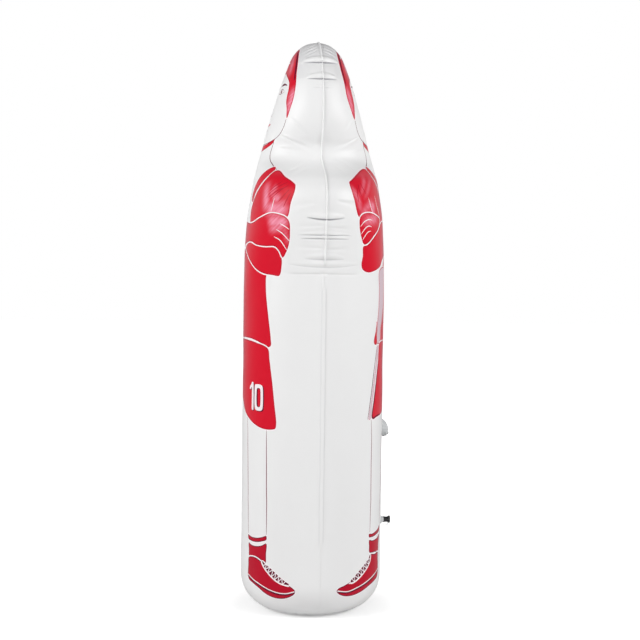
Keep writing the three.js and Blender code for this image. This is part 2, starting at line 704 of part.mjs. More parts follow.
// The back panel, with a hole for each valve's root.
function backPanelSolid() {
  const hole = (radius, z) => (
    rod(radius + SEAT_GAP, -BODY_RADIUS / 2, CUT_OVERRUN, ROUND_STEPS).translate(0, BODY_RADIUS, z)
  );
  return panelSolid(1)
    .subtract(hole(AIR_WEB_RADIUS, AIR_VALVE_Z))
    .subtract(hole(NECK_ROOT_RADIUS, WATER_VALVE_Z));
}

// Assembly

function named(name, geometry, look) {
  const mesh = new THREE.Mesh(geometry, new THREE.MeshStandardMaterial(look));
  mesh.name = name;
  return mesh;
}

function valveGroup(z, ...meshes) {
  const group = new THREE.Group();
  group.position.set(0, BODY_RADIUS, z);
  group.add(...meshes);
  return group;
}

const mannequin = new THREE.Group();
mannequin.add(
  named('front_panel', geometryFrom(panelSolid(-1)), FILM_WHITE),
  named('back_panel', geometryFrom(backPanelSolid()), FILM_WHITE),
  named('base_panel', geometryFrom(basePanelSolid()), FILM_WHITE),
  named('chamber_diaphragm', geometryFrom(chamberFloorSolid()), FILM_WHITE),
  valveGroup(
    AIR_VALVE_Z,
    named('air_valve_body', geometryFrom(airValveBodySolid()), CLEAR_VINYL),
    named('air_valve_flap', airValveFlapGeometry(), SILICONE),
    named('air_valve_plug', airValvePlugGeometry(), CLEAR_VINYL),
  ),
  valveGroup(
    WATER_VALVE_Z,
    named('water_valve_neck', geometryFrom(waterNeckSolid()), CLEAR_VINYL),
    named('water_valve_insert', waterInsertGeometry(), BLACK_PLASTIC),
    named('water_valve_cap', waterCapGeometry(), BLACK_PLASTIC),
    named('water_valve_gasket', gasketGeometry(), BLACK_RUBBER),
    named('water_cap_ring', capRingGeometry(), CLEAR_VINYL),
  ),
);

export default mannequin;
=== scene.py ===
"""Looks of an inflatable free kick mannequin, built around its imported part. Metres, +Z up."""

import logging
import math
from dataclasses import dataclass, field
from enum import Enum

import bpy
import numpy as np
from mathutils import Matrix, Vector
from mathutils.geometry import delaunay_2d_cdt

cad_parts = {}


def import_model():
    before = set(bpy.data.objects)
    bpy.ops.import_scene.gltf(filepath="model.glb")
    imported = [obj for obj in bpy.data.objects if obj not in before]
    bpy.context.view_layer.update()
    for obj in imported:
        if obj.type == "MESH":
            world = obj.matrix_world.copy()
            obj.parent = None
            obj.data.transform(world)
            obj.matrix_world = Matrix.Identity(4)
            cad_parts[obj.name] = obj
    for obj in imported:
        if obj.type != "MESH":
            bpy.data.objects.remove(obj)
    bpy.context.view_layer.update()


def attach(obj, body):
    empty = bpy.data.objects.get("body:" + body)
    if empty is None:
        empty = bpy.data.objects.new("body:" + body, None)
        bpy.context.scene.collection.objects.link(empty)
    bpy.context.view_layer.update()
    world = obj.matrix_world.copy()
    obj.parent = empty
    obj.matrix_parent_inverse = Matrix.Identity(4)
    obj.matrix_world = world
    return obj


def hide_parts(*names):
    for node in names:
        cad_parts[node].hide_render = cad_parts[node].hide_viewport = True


LOG = logging.getLogger("mannequin")
MM = 0.001
PER_METRE = 1000.0
AIR_HEIGHT = 0.562
WATER_HEIGHT = 0.267

Point2 = tuple[float, float]
Outline = tuple[Point2, ...]
Colour = tuple[float, float, float]
Faces = list[tuple[int, ...]]
Array = np.ndarray
Thing = bpy.types.Object
Socket = bpy.types.NodeSocket


class Side(Enum):
    """The two printed panels, by the way that they face along Y."""

    FRONT = -1
    BACK = 1


class Ink(Enum):
    """What a spot on the panels wears, as the place of its finish in the panel's list."""

    FILM = 0
    WHITE = 1
    RED = 2
    DARK = 3
    PALE = 4
    DEEP = 5


# Inflated form


@dataclass(frozen=True)
class Pucker:
    """A pocket across a side seam, where the curved weld gathers the film.

    The crease lies at height z, reaches that far from the seam, is rise high and depth deep, is a
    sharp tuck by the share tuck, and ends higher than its middle by bow. The film above it hangs
    plumb by the share hang, and slopes out toward the crease otherwise.
    """

    z: float
    reach: float
    rise: float
    depth: float
    tuck: float = 0.25
    bow: float = 0.0
    hang: float = 0.0

    def height(self, from_seam: Array, z: Array) -> Array:
        """Heights above the crease, which bends up toward its end."""
        return z - self.z - self.bow * np.clip(from_seam / self.reach, 0, 1) ** 2


@dataclass(frozen=True)
class Crease:
    """A soft fold from one spot to another, given as distance from the seam and height.

    A negative distance lies on the front panel, a positive one on the back panel.
    """

    start: Point2
    end: Point2
    depth: float
    width: float


def ramp(value: Array, low: float, high: float) -> Array:
    """A smooth rise from 0 at low to 1 at high.

    Args:
        value: Places to rate.
        low: Where the rise starts.
        high: Where it ends.

    Returns:
        Shares from 0 to 1.
    """
    share = np.clip((value - low) / (high - low), 0.0, 1.0)
    return share * share * (3.0 - 2.0 * share)


def bell(value: Array) -> Array:
    """A bump of height 1 and width about 1 round zero."""
    return np.exp(-(value**2))


def unit(rows: Array) -> Array:
    """Rows of directions, each brought to a length of 1."""
    return rows / np.maximum(np.linalg.norm(rows, axis=1), 1e-12)[:, None]


def curve_through(points: Array, closed: bool = False, spacing: float = 1.0, per: int = 0) -> Array:
    """A smooth line through points, cut at an even spacing.

    Args:
        points: Places, one a row.
        closed: Whether the line comes back to its start.
        spacing: Length of its steps.
        per: Steps from each point to the next, where that is given in place of a spacing.

    Returns:
        The line's places.
    """
    count = len(points)
    rows = []
    for i in range(count if closed else count - 1):
        p1, p2 = points[i], points[(i + 1) % count]
        p0 = points[i - 1] if closed or i else 2 * p1 - p2
        p3 = points[(i + 2) % count] if closed or i + 2 < count else 2 * p2 - p1
        d0, d1, d2 = (
            max(float(np.linalg.norm(a - b)) ** 0.5, 1e-3) for a, b in ((p0, p1), (p1, p2), (p2, p3))
        )
        m1 = ((p1 - p0) / d0 - (p2 - p0) / (d0 + d1) + (p2 - p1) / d1) * d1
        m2 = ((p2 - p1) / d1 - (p3 - p1) / (d1 + d2) + (p3 - p2) / d2) * d1
        steps = per or max(int(round(float(np.linalg.norm(p2 - p1)) / spacing)), 2)
        for t in np.arange(steps) / steps:
            rows.append(
                p1 + m1 * t + (3 * (p2 - p1) - 2 * m1 - m2) * t**2 + (2 * (p1 - p2) + m1 + m2) * t**3
            )
    if not closed:
        rows.append(points[-1])
    return np.array(rows)


@dataclass
class InflatedForm:
    """The blown-up skin, as a map from a flat panel to the body.

    A flat place is (across, up): across runs from the panel's middle line, and up is height,
    measured along the film where the crown and the foot curve away.
    """

    crown: float = 1.7464
    radius: float = 0.217
    waist: float = 1.035
    edge: float = 0.108
    film: float = 0.0006
    gap: float = 0.0003
    fin: float = 0.0036
    fin_taper: float = 0.04
    fin_fillet: float = 0.0008
    fin_lean: float = 0.55
    lap: float = 0.012
    lap_end: float = 0.19
    lap_taper: float = 0.03
    joggle: float = 0.01
    weld_radius: float = 0.15
    bent_from: float = 1.69
    outline: tuple[tuple[float, float, float], ...] = (
        (0, 1, 1), (0.103, 1.05, 0.99), (0.234, 1.12, 0.96), (0.322, 1.135, 0.92),
        (0.385, 1.04, 0.89), (0.44, 0.8, 0.85), (0.495, 0.575, 0.802), (0.54, 0.57, 0.759),
        (0.582, 0.635, 0.725), (0.64, 0.69, 0.67), (0.712, 0.7, 0.605), (0.799, 0.645, 0.52),
        (0.885, 0.53, 0.42), (0.93, 0.44, 0.36), (0.965, 0.33, 0.275), (0.988, 0.2, 0.17), (1, 0, 0),
    )
    puckers: tuple[Pucker, ...] = (
        Pucker(1.6685, 0.06, 0.0085, 0.0068, 0.85, 0.002, 1.0),
        Pucker(1.616, 0.048, 0.008, 0.0058, 0.85, 0.002, 0.9),
        Pucker(1.59, 0.03, 0.004, 0.0006),
        Pucker(1.191, 0.058, 0.0085, 0.0046, 0.8, 0.007),
        Pucker(1.1455, 0.08, 0.0046, 0.0022, 0.7, 0.001),
        Pucker(1.1355, 0.074, 0.0046, 0.0026, 0.7),
        Pucker(1.0745, 0.06, 0.0075, 0.0026, 0.25, 0.002),
        Pucker(1.052, 0.11, 0.0065, 0.0015, 0.2, 0.01),
    )
    creases: tuple[Crease, ...] = (
        Crease((-0.124, 1.447), (-0.022, 1.404), 0.0024, 0.005),
        Crease((0.13, 1.451), (0.03, 1.41), 0.0024, 0.005),
        Crease((-0.128, 1.412), (-0.06, 1.401), 0.0009, 0.006),
        Crease((0.15, 1.42), (0.06, 1.402), 0.0009, 0.006),
        Crease((-0.112, 1.378), (-0.044, 1.369), 0.0009, 0.0055),
        Crease((0.104, 1.345), (0.044, 1.386), 0.0015, 0.0052),
        Crease((-0.108, 1.336), (-0.02, 1.373), 0.0015, 0.005),
        Crease((-0.1, 1.322), (-0.022, 1.357), 0.0013, 0.005),
        Crease((0.066, 1.335), (0.032, 1.361), 0.0012, 0.005),
        Crease((-0.1, 1.5), (-0.04, 1.44), 0.001, 0.007),
        Crease((0.104, 1.504), (0.042, 1.442), 0.0009, 0.007),
        Crease((-0.005, 1.731), (-0.066, 1.707), 0.0019, 0.0026),
        Crease((-0.006, 1.722), (-0.064, 1.696), 0.0019, 0.0028),
        Crease((-0.006, 1.711), (-0.06, 1.687), 0.0014, 0.0028),
        Crease((0.005, 1.729), (0.06, 1.709), 0.0018, 0.0026),
        Crease((0.006, 1.718), (0.06, 1.698), 0.0018, 0.0028),
        Crease((0.006, 1.706), (0.054, 1.688), 0.0013, 0.0028),
        Crease((-0.03, 1.24), (-0.12, 1.228), 0.001, 0.008),
        Crease((0.034, 1.246), (0.118, 1.232), 0.001, 0.008),
        Crease((-0.006, 1.108), (-0.1, 1.112), 0.0009, 0.006),
        Crease((0.006, 1.104), (0.092, 1.108), 0.0009, 0.006),
        Crease((-0.01, 1.174), (-0.096, 1.17), 0.0008, 0.0055),
        Crease((0.01, 1.168), (0.09, 1.166), 0.0008, 0.0055),
    )
    waist_weld: float = 0.12
    chamber: float = 0.351
    lap_ridge: float = 0.0005
    # Painted shade over the crown above the top tuck and between the two upper tucks, and the height of the
    # lit crescent left unshaded above each crease.
    crown_shade: float = 0.15
    crescent: float = 0.019
    rim_gathers: int = 34
    rim_depth: float = 0.0024
    rim_middle: float = 0.012
    rim_spread: float = 0.03
    slack: float = 0.00045
    waist_depth: float = 0.0013
    waist_half: float = 0.002
    chamber_half: float = 0.014
    calm_crown: Point2 = (1.715, 1.742)
    ridge_half: float = 0.0009
    flare: float = 0.01
    steepest: float = -40.0
    table: dict[str, Array] = field(default_factory=dict)

    def __post_init__(self) -> None:
        """Works out the outline and the heights along the film."""
        rise, width, depth = curve_through(np.array(self.outline, float), per=24).T
        self.table = {
            "z": self.waist + rise * (self.crown - self.waist), "width": width * self.radius,
            "depth": depth * self.radius,
        }
        top = self.crown - (self.crown - self.bent_from) * np.linspace(1, 0, 260) ** 2
        z_fine = np.concatenate([np.linspace(0, self.bent_from, 800), top])
        w, d = self.half_sizes(z_fine)
        step = np.diff(z_fine)
        bent = np.hypot(step, np.diff((w + d) / 2))
        along = np.where(z_fine[1:] > self.bent_from, bent, step)
        self.table["fine_z"] = z_fine
        self.table["fine_up"] = np.concatenate([[0.0], np.cumsum(along)])

    @property
    def step(self) -> float:
        """One film and the gap between two."""
        return self.film + self.gap

    @property
    def round_top(self) -> float:
        """Height at which the foot's rounding starts."""
        return self.edge + self.step

    @property
    def low(self) -> float:
        """Flat height of the panels' lower edge, at the inner side of the base weld."""
        inner = (self.weld_radius - self.lap / 2 - self.radius + self.edge) / self.edge
        return self.round_top - self.edge * math.acos(inner)

    @property
    def high(self) -> float:
        """Flat height of the crown."""
        return float(self.table["fine_up"][-1])

    def up_at(self, z: Array) -> Array:
        """Flat heights of real heights above the foot's rounding."""
        return np.interp(z, self.table["fine_z"], self.table["fine_up"])

    def z_at(self, up: Array) -> Array:
        """Real heights of flat heights, the foot's rounding included."""
        turn = np.clip((self.round_top - up) / self.edge, 0.0, None)
        plain = np.interp(up, self.table["fine_up"], self.table["fine_z"])
        return np.where(up < self.round_top, self.round_top - self.edge * np.sin(turn), plain)

    def half_sizes(self, z: Array) -> tuple[Array, Array]:
        """Half width and half depth of the upper body and the trunk.

        Args:
            z: Real heights.

        Returns:
            Half the width along X and half the depth along Y.
        """
        width, depth = (
            np.where(z > self.waist, np.interp(z, self.table["z"], self.table[way]), self.radius)
            for way in ("width", "depth")
        )
        return width, depth

    @staticmethod
    def _arc(width: Array, depth: Array, angle: Array) -> Array:
        """Length along an ellipse from the panel's middle to an angle measured from the seam.

        Args:
            width: Half the ellipse's width.
            depth: Half its depth.
            angle: The angle, or where it ends.

        Returns:
            Lengths.
        """
        nodes, weights = np.polynomial.legendre.leggauss(9)
        half = (math.pi / 2 - angle) / 2
        total = np.zeros_like(angle)
        for node, weight in zip(nodes, weights):
            at = angle + half * (1 + node)
            total += weight * np.hypot(width * np.sin(at), depth * np.cos(at))
        return total * half

    def half_width(self, up: Array) -> Array:
        """Distance on the film from a panel's middle line to its seam.

        Args:
            up: Flat heights.

        Returns:
            Distances.
        """
        up = np.atleast_1d(np.asarray(up, float))
        width, depth = self.half_sizes(self.z_at(up))
        return np.where(
            up < self.round_top, self.radius * math.pi / 2, self._arc(width, depth, np.zeros_like(up))
        )

    def fin_share(self, z: Array) -> Array:
        """How far the seam is a standing fin, from 0 to 1."""
        return ramp(z, self.waist, self.waist + self.fin_taper)

    def lap_share(self, z: Array) -> Array:
        """How far the front panel laps over the back one, from 0 to 1.

        Args:
            z: Real heights.

        Returns:
            Shares.
        """
        start = self.lap_end + self.lap_taper
        return ramp(z, start, start + self.lap_taper) * (
            1 - ramp(z, self.waist - 2 * self.lap_taper, self.waist - self.lap_taper)
        )

    def margin(self, up: Array) -> Array:
        """Width of the welded margin past the seam line.

        Args:
            up: Flat heights.

        Returns:
            Widths.
        """
        z = self.z_at(up)
        lap = self.lap_share(z) * (self.lap + self.gap) / 2
        return self.fin * self.fin_share(z) + lap - self.gap / 2 * (1 - self.fin_share(z))

    def wrinkle(self, side: Side, from_seam: Array, across: Array, up: Array) -> Array:
        """How far pockets, folds and slack move the film outward.

        Args:
            side: The panel.
            from_seam: Distance on the film to the nearer seam.
            across: Distance from the panel's middle line.
            up: Flat height.

        Returns:
            Outward moves.
        """
        z = self.z_at(up)
        away = np.abs(from_seam)
        lift = np.zeros_like(z)
        # Each pocket is part soft hollow with a swell above it, part sharp tuck under hanging film.
        for p in self.puckers:
            share = away / p.reach
            fade = np.clip(1 - share**2, 0, None)
            height = p.height(away, z) / (p.rise * (1 - 0.55 * np.clip(share, 0, 1) ** 2))
            soft = 0.62 * bell(height) + 0.38 * bell(height / 0.4) - 0.8 * bell((height - 1.55) / 0.95)
            sharp = 0.6 * bell(height / 0.2) + 0.25 * bell((height + 0.45) / 0.5)
            hanging = (0.45 + 0.55 * ramp(height, 0.2, 1.8)) * (1 - ramp(height, 1.9, 2.9))
            film = p.hang * hanging + (1 - p.hang) * (1 - ramp(height, 0.4, 2.9))
            sharp = sharp - 0.95 * ramp(height, 0.0, 0.42) * film
            lift -= p.depth * fade * (soft * (1 - p.tuck) + sharp * p.tuck)
        place = np.stack([side.value * away, z], -1)
        for c in self.creases:
            if c.start[0] * side.value < 0:
                continue
            start, end = np.array(c.start), np.array(c.end)
            run = end - start
            share = ((place - start) @ run) / (run @ run)
            off = (place - start) @ np.array([-run[1], run[0]]) / np.linalg.norm(run)
            width = c.width * (0.55 + 0.8 * np.clip(share, 0, 1))
            along = ramp(share, -0.12, 0.16) * (1 - ramp(share, 0.45, 1.08))
            lift += c.depth * along * (0.55 * bell((off - 1.5 * width) / width) - bell(off / width))
        waves = (
            np.sin(21 * across + 3.1 * z + 0.4) * np.sin(17 * z + 1.3 * side.value)
            + 0.6 * np.sin(34 * across - 23 * z + 2.0 * side.value)
            + 0.5 * np.sin(47 * z + 11 * across)
        )
        calm = ramp(away, 0.01, 0.07) * (1 - bell((z - self.chamber) / self.chamber_half))
        lift += self.slack * waves * calm
        weld = ramp(away, -0.001, 0.002) * (1 - ramp(away, 0.7 * self.waist_weld, self.waist_weld))
        lift -= self.waist_depth * weld * bell((z - self.waist + self.waist_half) / self.waist_half)
        # Gathers round the foot, where the base weld draws the panels in.
        around = across / self.radius + (0 if side is Side.FRONT else math.pi)
        gather = np.abs(np.sin(self.rim_gathers / 2 * around + 0.9 * np.sin(3 * around + 0.7)))
        uneven = 0.55 + 0.45 * np.sin(5 * around + 1.1) * np.sin(2 * around + 0.3)
        foot = bell((up - self.low - self.rim_middle) / self.rim_spread)
        lift -= self.rim_depth * uneven * foot * bell(gather / 0.42)
        return lift * (1 - 0.85 * ramp(z, *self.calm_crown))

    def fold(self, from_seam: Array, z: Array) -> Array:
        """How far the crease colour darkens a place, from 0 to 1: painted shade in the tucks and on the
        crown, and a faint line along the lap weld's edges.

        Args:
            from_seam: Distance on the film to the nearer seam.
            z: Real height.

        Returns:
            Shares.
        """
        deep = np.zeros_like(z)
        # Painted shade in the depth of each tuck's crease.
        for p in self.puckers:
            fade = np.clip(1 - (from_seam / p.reach) ** 2, 0, 1) ** 0.5
            low = p.height(from_seam, z) + 0.0002
            deep = np.maximum(deep, min(p.tuck, 0.75) * fade * bell(low / (0.19 * p.rise)))
        # Painted shade over the crown above the top tuck, half as strong between the two upper tucks.
        top, second = self.puckers[:2]
        for p, shade, end in ((top, self.crown_shade, self.crown), (second, self.crown_shade / 2, top.z)):
            arc = self.crescent * np.clip(1 - (from_seam / (1.1 * p.reach)) ** 2, 0, 1)
            over = ramp(p.height(from_seam, z) - arc, 0.0, 0.004) * (1 - ramp(z, end - 0.004, end))
            deep = np.maximum(deep, shade * over)
        # A faint darker line along each edge of the lap weld.
        edge = bell((from_seam - self.lap / 2) / 0.0016) + bell((from_seam + self.lap / 2) / 0.0016)
        return np.maximum(deep, 0.09 * edge * self.lap_share(z))

    def place(self, side: Side, across: Array, up: Array) -> Array:
        """Where flat places of a panel lie on the body.

        Args:
            side: The panel.
            across: Distance from the panel's middle line, toward +X.
            up: Flat height.

        Returns:
            Places, one a row.
        """
        z = self.z_at(up)
        width, depth = self.half_sizes(z)
        foot = up < self.round_top
        turn = np.clip((self.round_top - up) / self.edge, 0.0, None)
        ring = self.radius - self.edge + self.edge * np.cos(turn)
        width, depth = np.where(foot, ring, width), np.where(foot, ring, depth)
        flat_width = np.where(foot, self.radius, width)
        flat_depth = np.where(foot, self.radius, depth)
        full = self._arc(flat_width, flat_depth, np.zeros_like(up))
        from_seam = full - np.abs(across)
        fin = self.fin_share(z)
        rounded = (from_seam + np.sqrt(from_seam**2 + 4 * self.fin_fillet**2)) / 2
        out = (rounded - from_seam) * fin
        from_seam = fin * rounded + (1 - fin) * from_seam
        length = np.maximum(full - from_seam, 0.0)
        angle = math.pi / 2 - length / np.maximum((flat_width + flat_depth) / 2, 1e-6)
        # Newton's steps to the angle at that length along the ellipse.
        for _ in range(5):
            slope = np.hypot(flat_width * np.sin(angle), flat_depth * np.cos(angle))
            angle += (self._arc(flat_width, flat_depth, angle) - length) / np.maximum(slope, 1e-6)
        cos, sin = np.cos(angle), np.sin(angle)
        nx, ny = cos / np.maximum(width, 1e-4), sin / np.maximum(depth, 1e-4)
        size = np.hypot(nx, ny)
        nx, ny = nx / size, ny / size
        lift = self.wrinkle(side, from_seam, across, up)
        if side is Side.FRONT:
            reach = self.lap / 2
            share = ramp(z, self.lap_end, self.lap_end + self.lap_taper) * (1 - self.fin_share(z))
            share = share * (1 - ramp(z, self.waist - self.lap_taper, self.waist))
            lift = lift + self.step * share * (1 - ramp(from_seam, reach, reach + self.joggle))
            ridges = bell((from_seam - reach) / self.ridge_half)
            ridges += 0.8 * bell((from_seam + reach - 0.0008) / self.ridge_half)
            lift = lift + self.lap_ridge * share * ridges
        toward = np.where(across < 0, -1.0, 1.0)
        x = toward * (width * cos + nx * lift)
        y = side.value * (depth * sin + ny * lift)
        apart = np.exp(-np.maximum(from_seam, 0) / self.flare)
        y = y + side.value * fin * (self.film + self.gap / 2) * apart
        around = 0.0005
        slope = (self.half_sizes(z + around)[0] - self.half_sizes(z - around)[0]) / (2 * around)
        slope = np.where(z > self.crown - 2 * around, self.steepest, slope)
        size = np.sqrt(1 + slope**2)
        x = x + toward * out / size * (1 - 0.3 * self.fin_lean)
        y = y + self.fin_lean * np.maximum(out - self.fin_fillet, 0)
        return np.stack([x, y, z - out * slope / size], -1)

    def normals(self, side: Side, across: Array, up: Array) -> Array:
        """Outward directions of the skin at flat places.

        Args:
            side: The panel.
            across: Distance from the panel's middle line.
            up: Flat height.

        Returns:
            Unit directions, one a row.
        """
        step = 0.0004
        right = self.place(side, across + step, up) - self.place(side, across - step, up)
        above = self.place(side, across, np.minimum(up + step, self.high - 1e-5))
        rise = above - self.place(side, across, up - step)
        normal = np.cross(right, rise) * -side.value
        size = np.linalg.norm(normal, axis=1)
        normal[size < 1e-12] = (0.0, 0.0, 1.0)
        return normal / np.maximum(size, 1e-12)[:, None]


# Print


@dataclass(frozen=True)
class Area:
    """A printed area: its outline in millimetres on the flat panel, and how it is edged.

    Corners are rounded by a curve through the points. halo is the width of the white round it,
    and rim the width of the line of ink edge inside its outline.
    """

    points: Outline
    ink: Ink
    halo: float = 3.6
    rim: float = 2.9
    smooth: bool = True
    edge: Ink = Ink.DEEP


@dataclass(frozen=True)
class Line:
    """A printed line along points in millimetres, of one width, or thin at its ends."""

    points: Outline
    ink: Ink
    width: float = 2.8
    thin_ends: bool = False


def mirrored(points: Outline) -> Outline:
    """The same points on the other side of the middle line."""
    return tuple((-x, z) for x, z in points)


def signed_area(loop: Array) -> float:
    """Area inside a loop, below zero where it runs clockwise."""
    x, z = loop.T
    return float(np.sum(x * np.roll(z, -1) - np.roll(x, -1) * z)) / 2


def grown(loop: Array, by: float) -> Array:
    """A loop moved outward, or inward by less than zero.

    Args:
        loop: Places round an area, one a row.
        by: The move.

    Returns:
        The moved places.
    """
    along = unit(np.roll(loop, -1, 0) - np.roll(loop, 1, 0))
    outward = np.stack([along[:, 1], -along[:, 0]], 1)
    return loop + outward * by * (1 if signed_area(loop) > 0 else -1)


@dataclass
class FootballerPrint:
    """The printed figure, the same on both panels, with its left and right as the viewer's."""

    spacing: float = 3.2
    fine: float = 1.6
    fine_below: float = 60.0
    tongue: float = 18.0
    white_scale: Point2 = (0.94, 0.8)
    white_shift: Point2 = (2.6, 317.4)

    hair: Outline = (
        (-114, 1502), (-125, 1532), (-129, 1568), (-119, 1606), (-104, 1646), (-84, 1684), (-62, 1710),
        (-30, 1727), (0, 1732), (30, 1726), (52, 1706), (73, 1678), (91, 1646), (113, 1602), (122, 1558),
        (120, 1530), (114, 1500), (104, 1530), (92, 1556), (86, 1590), (76, 1612), (44, 1634), (16, 1646),
        (-14, 1636), (-48, 1630), (-76, 1612), (-86, 1588), (-92, 1556), (-103, 1528),
    )
    hair_glints: tuple[Outline, ...] = (
        ((-64, 1690), (-44, 1702), (-18, 1708)),
        ((-30, 1674), (-6, 1682), (22, 1678)),
    )
    hair_edges: tuple[Outline, ...] = (
        ((33, 1719), (50, 1701), (68, 1675), (85, 1646), (99, 1616)),
        ((-38, 1719), (-60, 1702), (-80, 1676), (-99, 1640), (-113, 1600)),
    )
    jaw: Outline = (
        (-113, 1500), (-106, 1470), (-88, 1447), (-52, 1433), (0, 1428), (52, 1433), (88, 1447), (106, 1470),
        (113, 1500),
    )
    brow: Outline = ((18, 1604), (34, 1611), (54, 1611), (72, 1603), (54, 1605), (34, 1605))
    eye: Outline = ((22, 1586), (33, 1594), (48, 1595), (64, 1585), (49, 1580), (33, 1580))
    iris: Outline = ((37, 1587), (43, 1593), (49, 1587), (43, 1581))
    nose: Outline = ((-10, 1572), (-14, 1545), (-18, 1526), (-12, 1518), (0, 1516), (12, 1518), (18, 1526))
    upper_lip: Outline = ((-30, 1488), (-14, 1492), (0, 1490), (14, 1492), (30, 1488), (0, 1484))
    lower_lip: Outline = ((-14, 1473), (0, 1470), (14, 1473))
    under_chin: Outline = (
        (-76, 1440), (-40, 1429), (0, 1425), (40, 1429), (76, 1440), (68, 1428), (38, 1414), (0, 1408),
        (-38, 1414), (-68, 1428),
    )
    neck: Outline = ((74, 1440), (69, 1416), (69, 1394), (80, 1376), (110, 1358), (142, 1342))
    sleeve: Outline = (
        (141, 1341), (200, 1318), (236, 1301), (249, 1291), (253, 1272), (246, 1238), (238, 1200),
        (200, 1180), (120, 1172), (58, 1180), (46, 1218), (52, 1246), (72, 1272), (98, 1296), (122, 1318),
    )
    raglan: Outline = (
        (124, 1353), (134, 1341), (119, 1322), (92, 1299), (66, 1276), (46, 1250), (30, 1266), (44, 1294),
        (72, 1322), (100, 1346),
    )
    far_sleeve: Outline = (
        (-122, 1352), (-191, 1334), (-246, 1311), (-261, 1302), (-267, 1274), (-262, 1244), (-247, 1202),
        (-200, 1180), (-120, 1172), (-58, 1180), (-46, 1218), (-52, 1246), (-72, 1272), (-98, 1300),
        (-118, 1326),
    )
    far_raglan: Outline = (
        (-104, 1362), (-116, 1350), (-112, 1328), (-90, 1302), (-66, 1277), (-46, 1251), (-28, 1268),
        (-42, 1296), (-66, 1326), (-88, 1350),
    )
    sleeve_strokes: tuple[Outline, ...] = (
        ((218, 1302), (186, 1287), (151, 1266)), ((226, 1292), (200, 1276), (171, 1256)),
        ((212, 1285), (184, 1274), (156, 1258)), ((234, 1280), (219, 1262), (201, 1244)),
        ((242, 1270), (233, 1252), (222, 1228)), ((196, 1304), (176, 1292), (156, 1278)),
        ((-214, 1306), (-214, 1290), (-206, 1272)), ((-228, 1300), (-234, 1282), (-230, 1262)),
        ((-240, 1290), (-248, 1268), (-246, 1246)),
    )
    sleeve_folds: tuple[Outline, ...] = (
        ((184, 1256), (180, 1236), (175, 1214)),
        ((-196, 1262), (-188, 1240), (-178, 1218)),
        ((-150, 1270), (-140, 1240), (-118, 1204)),
    )
    far_hand: Outline = (
        (-243, 1199), (-231, 1211), (-199, 1217), (-156, 1212), (-122, 1199), (-140, 1172), (-171, 1150),
        (-203, 1126), (-218, 1123), (-232, 1143), (-243, 1176),
    )
    far_fingers: tuple[Outline, ...] = (
        ((-240, 1174), (-224, 1189), (-202, 1197), (-182, 1196)),
        ((-234, 1152), (-216, 1172), (-200, 1178), (-186, 1176)),
        ((-226, 1135), (-210, 1155), (-198, 1162), (-188, 1163)),
    )
    near_arm: Outline = (
        (-220, 1116), (-203, 1121), (-170, 1145), (-138, 1168), (-112, 1190), (-60, 1198), (0, 1192),
        (69, 1186), (122, 1199), (174, 1211), (208, 1207), (232, 1198), (244, 1184), (245, 1153),
        (241, 1125), (230, 1096), (217, 1080), (205, 1101), (190, 1113), (156, 1114), (112, 1119),
        (69, 1130), (20, 1124), (-40, 1100), (-94, 1080), (-117, 1060), (-154, 1046), (-189, 1040),
        (-214, 1048), (-221, 1062), (-219, 1088),
    )
    fingers: tuple[Outline, ...] = (
        ((212, 1180), (228, 1172), (243, 1162)),
        ((198, 1163), (219, 1151), (242, 1128)),
        ((188, 1142), (210, 1131), (232, 1102)),
    )
    far_arm: Outline = (
        (214, 1074), (212, 1052), (208, 1034), (203, 1026), (181, 1028), (141, 1034), (109, 1047),
        (72, 1072), (40, 1096), (20, 1112), (60, 1128), (120, 1122), (190, 1114), (206, 1098),
    )
    jersey: Outline = (
        (154, 1044), (154, 1010), (156, 975), (161, 940), (168, 895), (176, 840), (177, 820), (170, 814),
        (150, 820), (120, 830), (84, 837), (40, 839), (0, 838), (-60, 836), (-104, 829), (-104, 868),
        (-96, 910), (-89, 955), (-89, 1000), (-92, 1048), (-60, 1090), (0, 1110), (60, 1080), (110, 1050),
    )
    jersey_stripe: Outline = (
        (-66, 1056), (-67, 1000), (-72, 955), (-84, 908), (-102, 868), (-107, 829), (-129, 825),
        (-131, 880), (-124, 930), (-121, 990), (-122, 1046),
    )
    jersey_wedge: Outline = ((-134, 893), (-142, 862), (-153, 832), (-148, 823), (-134, 824), (-134, 860))
    shorts: Outline = (
        (166, 809), (172, 778), (180, 730), (187, 686), (193, 640), (199, 588), (196, 573), (184, 569),
        (160, 568), (134, 572), (108, 580), (80, 592), (56, 604), (34, 620), (14, 644), (0, 654),
        (-14, 646), (-34, 630), (-60, 616), (-96, 606), (-128, 602), (-152, 597), (-160, 603), (-150, 650),
        (-135, 714), (-122, 770), (-113, 824), (-60, 832), (0, 834), (60, 832), (112, 826),
    )
    shorts_stripe: Outline = (
        (-120, 818), (-128, 770), (-141, 714), (-156, 650), (-167, 598), (-176, 598), (-165, 650),
        (-150, 714), (-138, 770), (-129, 818),
    )
    shorts_piping: Outline = ((-133, 816), (-144, 768), (-155, 714), (-169, 650), (-181, 598))
    shorts_shadow: Outline = (
        (-119, 776), (-132.5, 714), (-147.5, 650), (-157, 606), (-151, 600), (-128, 605), (-98, 609),
    )
    one: Outline = (
        (80, 684), (82, 692), (90, 700), (94, 706), (101, 706), (102, 704), (102, 624), (101, 622),
        (93, 622), (92, 624), (92, 690), (86, 684),
    )
    zero: Outline = (
        (114, 700), (138, 700), (144, 697), (147, 690), (147, 632), (144, 625), (138, 622), (118, 622),
        (112, 625), (109, 632), (109, 692), (110, 698),
    )
    zero_inside: Outline = (
        (122, 689), (133, 689), (136, 686), (136, 636), (133, 633), (123, 633), (120, 636), (120, 686),
    )
    zero_light: Outline = (
        (128, 687), (133, 687), (135, 685), (135, 637), (133, 635), (128, 635), (126, 637), (126, 685),
    )
    cast: Point2 = (5, -2.5)
